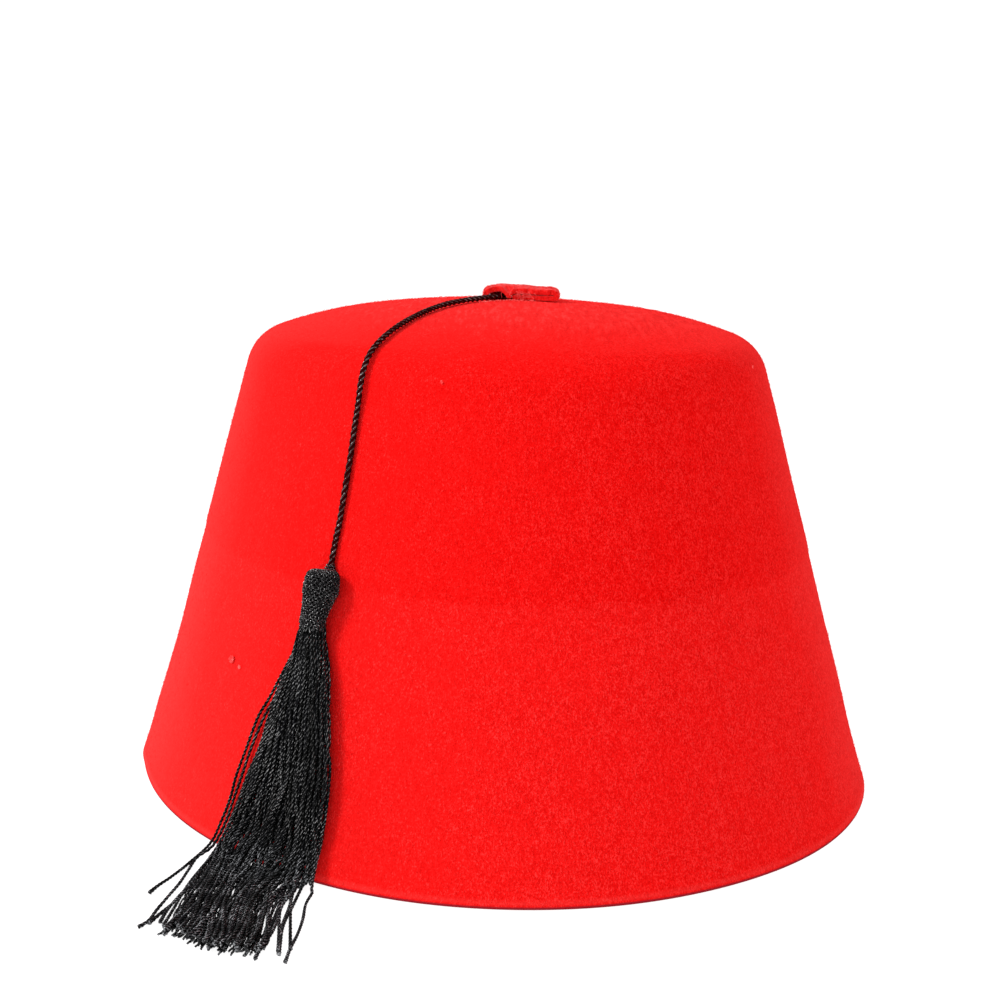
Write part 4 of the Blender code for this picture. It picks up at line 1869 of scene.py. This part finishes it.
    def knit_lines(self) -> list[Array]:
        """The cover's yarns: two families that wind round the head and cross over and under.

        Returns:
            Their lines in millimetres.
        """
        profile = self.knit_profile()
        steps = np.diff(profile, axis=0) * np.array([4.0, 1.0])
        runs = np.concatenate([[0.0], np.cumsum(np.linalg.norm(steps, axis=1))])
        part = np.linspace(0.03, 1.0, 120)
        share, along = (np.interp(part * runs[-1], runs, profile[:, k]) for k in (0, 1))
        shape = self.envelope(along)
        yarn = self.knit_yarn.diameter / 2
        fade = ease((1.0 - part) / 0.12)
        found = []
        for way in (-1.0, 1.0):
            for number in range(self.knit_count):
                wound = self.knit_turns * math.tau * part
                turn = way * wound + number / self.knit_count * math.tau
                weave = way * self.knit_weave * np.cos(self.knit_count * wound)
                weave = weave * np.minimum(share * 2, 1)
                inset = yarn - weave + 0.5 * (1 - fade)
                half = (shape["half"] + 0.1) * share - inset * np.minimum(share * 3, 1)
                deep = shape["thick"] / 2 * share - inset * np.minimum(share * 3, 1)
                pole = self.knit_pole * shape["half"] * (1 - share)
                cleft = self.knit_cleft * (1 - share) ** 1.2 * (1 - 0.4 * np.cos(turn))
                across = pole + half * np.cos(turn)
                proud = self.core + deep * np.sin(turn)
                found.append(self.lay(np.column_stack([along + cleft, across, proud])))
        return found

    def collar_line(self, cord: Array) -> Array:
        """The yarn wound round the cord's end, where it goes into the head.

        Args:
            cord: The cord's centreline, down to the head.

        Returns:
            The winding in millimetres.
        """
        way = unit(cord[-1] - cord[-4])
        side = unit(np.cross(way, np.array([0.0, 1.0, 0.0])))
        front = np.cross(way, side)
        part = np.linspace(0.0, 1.0, 60)[:, None]
        turn = part * self.collar_turns * math.tau
        reach = self.collar_reach[0] + (self.collar_reach[1] - self.collar_reach[0]) * part
        middle = cord[-1] + way * (0.8 - 1.8 * part)
        return middle + reach * (side * np.cos(turn) + front * np.sin(turn))

    def lines(self) -> list[dict[str, Array]]:
        """The bundle's yarns, from behind the head to their cut ends.

        Returns:
            One entry a yarn: its rows of along, across and proud, its place in the disc, and
            its mean height off the wall.
        """
        along = np.arange(self.top_bend, self.longest, self.station_step)
        spots = self.pack(along)
        rng = np.random.default_rng(self.seed + 1)
        half = self.envelope(along)["half"]
        found = []
        for number, place in enumerate(self.disc()):
            track = spots[:, number]
            rim = int(np.searchsorted(along, 2.0))
            share = 0.5 + 0.5 * track[rim, 0] / half[rim]
            end = self.tip(share) + rng.choice([1.0, 1.0, 0.4]) * rng.uniform(-2.6, 0.3)
            if track[rim, 1] < self.cut_height and rng.random() < self.cut_share:
                end = rng.uniform(*self.short_ends)
            keep = along <= end
            rows = np.column_stack([along[keep], track[keep]])
            rows[:, 2] += self.end_lift * np.exp((rows[:, 0] - rows[-1, 0]) / self.end_fade)
            top = self.loop(rows[0, 1], rows[0, 2], place)
            rows = self.draw_in(np.vstack([top[:-1], rows]))
            found.append({"rows": rows, "place": place, "height": float(track[:60, 1].mean())})
        return found

    def lay(self, rows: Array) -> Array:
        """Turn rows of along, across and proud into a smooth line in millimetres.

        Args:
            rows: The rows.

        Returns:
            The line.
        """
        shape = self.envelope(rows[:, 0])
        bearing = shape["middle"] - np.degrees(rows[:, 1] / shape["reach"])
        return catmull(self.form.draped(bearing, rows[:, 0], rows[:, 2]), 4)

    def stray_lines(self) -> dict[str, Array]:
        """The single yarns that lie apart from the bundle, in millimetres.

        Returns:
            Their lines by name.
        """
        found = {}
        low = self.yarn.diameter / 2 + self.end_lift
        rise, fade = self.stray_start
        for name, rows in self.strays.items():
            along, bearing = np.array(rows).T
            height = low + rise * ease(1 - (along - along[0]) / fade)
            found[name] = catmull(self.form.draped(bearing, along, height), 8)
        return found

    def model(self, cord: Array) -> dict[str, Piece]:
        """Wind all the yarns.

        Args:
            cord: The cord's centreline, down to the head.

        Returns:
            Head, its cover, front skirt in two parts, and back of the skirt, by name.
        """
        yarns = self.lines()
        order = sorted(range(len(yarns)), key=lambda n: -yarns[n]["height"])
        front = set(order[: len(order) // 2])
        heads, left, right, back = [], [], [], []
        for number, yarn in enumerate(yarns):
            rows = yarn["rows"]
            heads.append(self.lay(rows[rows[:, 0] < self.split]))
            first = next(k for k in range(len(rows)) if rows[k:, 0].min() >= self.split - 1.5)
            line = self.lay(rows[first:])
            if number in front:
                (left if yarn["place"][0] < 0 else right).append(line)
            else:
                back.append(line)
        for name, line in self.stray_lines().items():
            (left if name.startswith("left") else right).append(line)
        cover = [*self.knit_lines(), self.collar_line(cord)]
        pieces = {
            "tassel_head": self.hidden_yarn.sweep("tassel_head", heads, BLACK_YARNS, 21),
            "head_cover": self.knit_yarn.sweep("head_cover", cover, KNIT_YARNS, 25),
        }
        for name, lines, seed in (("skirt_left", left, 22), ("skirt_right", right, 23)):
            pieces[name] = self.yarn.sweep(
                name, lines, BLACK_YARNS, seed, turn=Turn.RIGHT, end_swell=self.end_swell
            )
        pieces["skirt_back"] = self.hidden_yarn.sweep("skirt_back", back, BLACK_YARNS, 24)
        return pieces

    def dress(self, pieces: dict[str, Piece]) -> None:
        """Let the tassel's pieces ride with the hat in place of its solid.

        Args:
            pieces: The pieces by name.
        """
        for piece in pieces.values():
            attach(piece, "root")
            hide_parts("tassel")


# ---- main


def outer_felt(normals: Array) -> Array:
    """Mark the triangles of the felt body's outer side."""
    return (normals[:, 2] > 0.0).astype(float)


# More pale nap on the faces that look up gives the tab's top a painted sheen.
def mostly_top(normals: Array) -> Array:
    """Mark the triangles that face up, and with a smaller share those that face sideways."""
    return np.where(normals[:, 2] > 0.35, 1.0, 0.3) * (normals[:, 2] > -0.6)


def report(piece: Piece) -> None:
    """Log a piece's name and its triangles."""
    triangles = sum(len(face.vertices) - 2 for face in piece.data.polygons)
    log.info("%s: %d triangles", piece.name, triangles)


def main() -> None:
    """Build and dress the hat's pieces in order."""
    logging.basicConfig(level=logging.INFO, format="%(name)s: %(message)s")
    View().build()
    form = HatForm()
    cord_maker = TasselCord()
    tassel = Tassel(form)
    bundle = tassel.model(cord_maker.line())
    tassel.dress(bundle)
    cord = cord_maker.model()
    cord_maker.dress(cord, bundle["tassel_head"])
    Studio().build()
    body_maker = FeltBody(form)
    body = body_maker.model()
    body_maker.dress(body)
    nap = Nap("felt_nap", 60000).model(body, outer_felt)
    Nap.dress(nap, RED_NAP, "red_felt")
    tab_maker = FoldedTab(form)
    tab = tab_maker.model()
    tab_maker.dress(tab)
    tab_nap = Nap("tab_nap", 5200, length=(0.4, 1.1), seed=9).model(tab, mostly_top)
    Nap.dress(tab_nap, TAB_NAP, "red_tab_felt")
    thread_maker = FrayedThreads(form, tab_maker)
    threads = thread_maker.model()
    thread_maker.dress(threads)
    for piece in (*bundle.values(), cord, body, nap, tab, tab_nap, threads):
        report(piece)


if __name__ == "__main__":
    main()
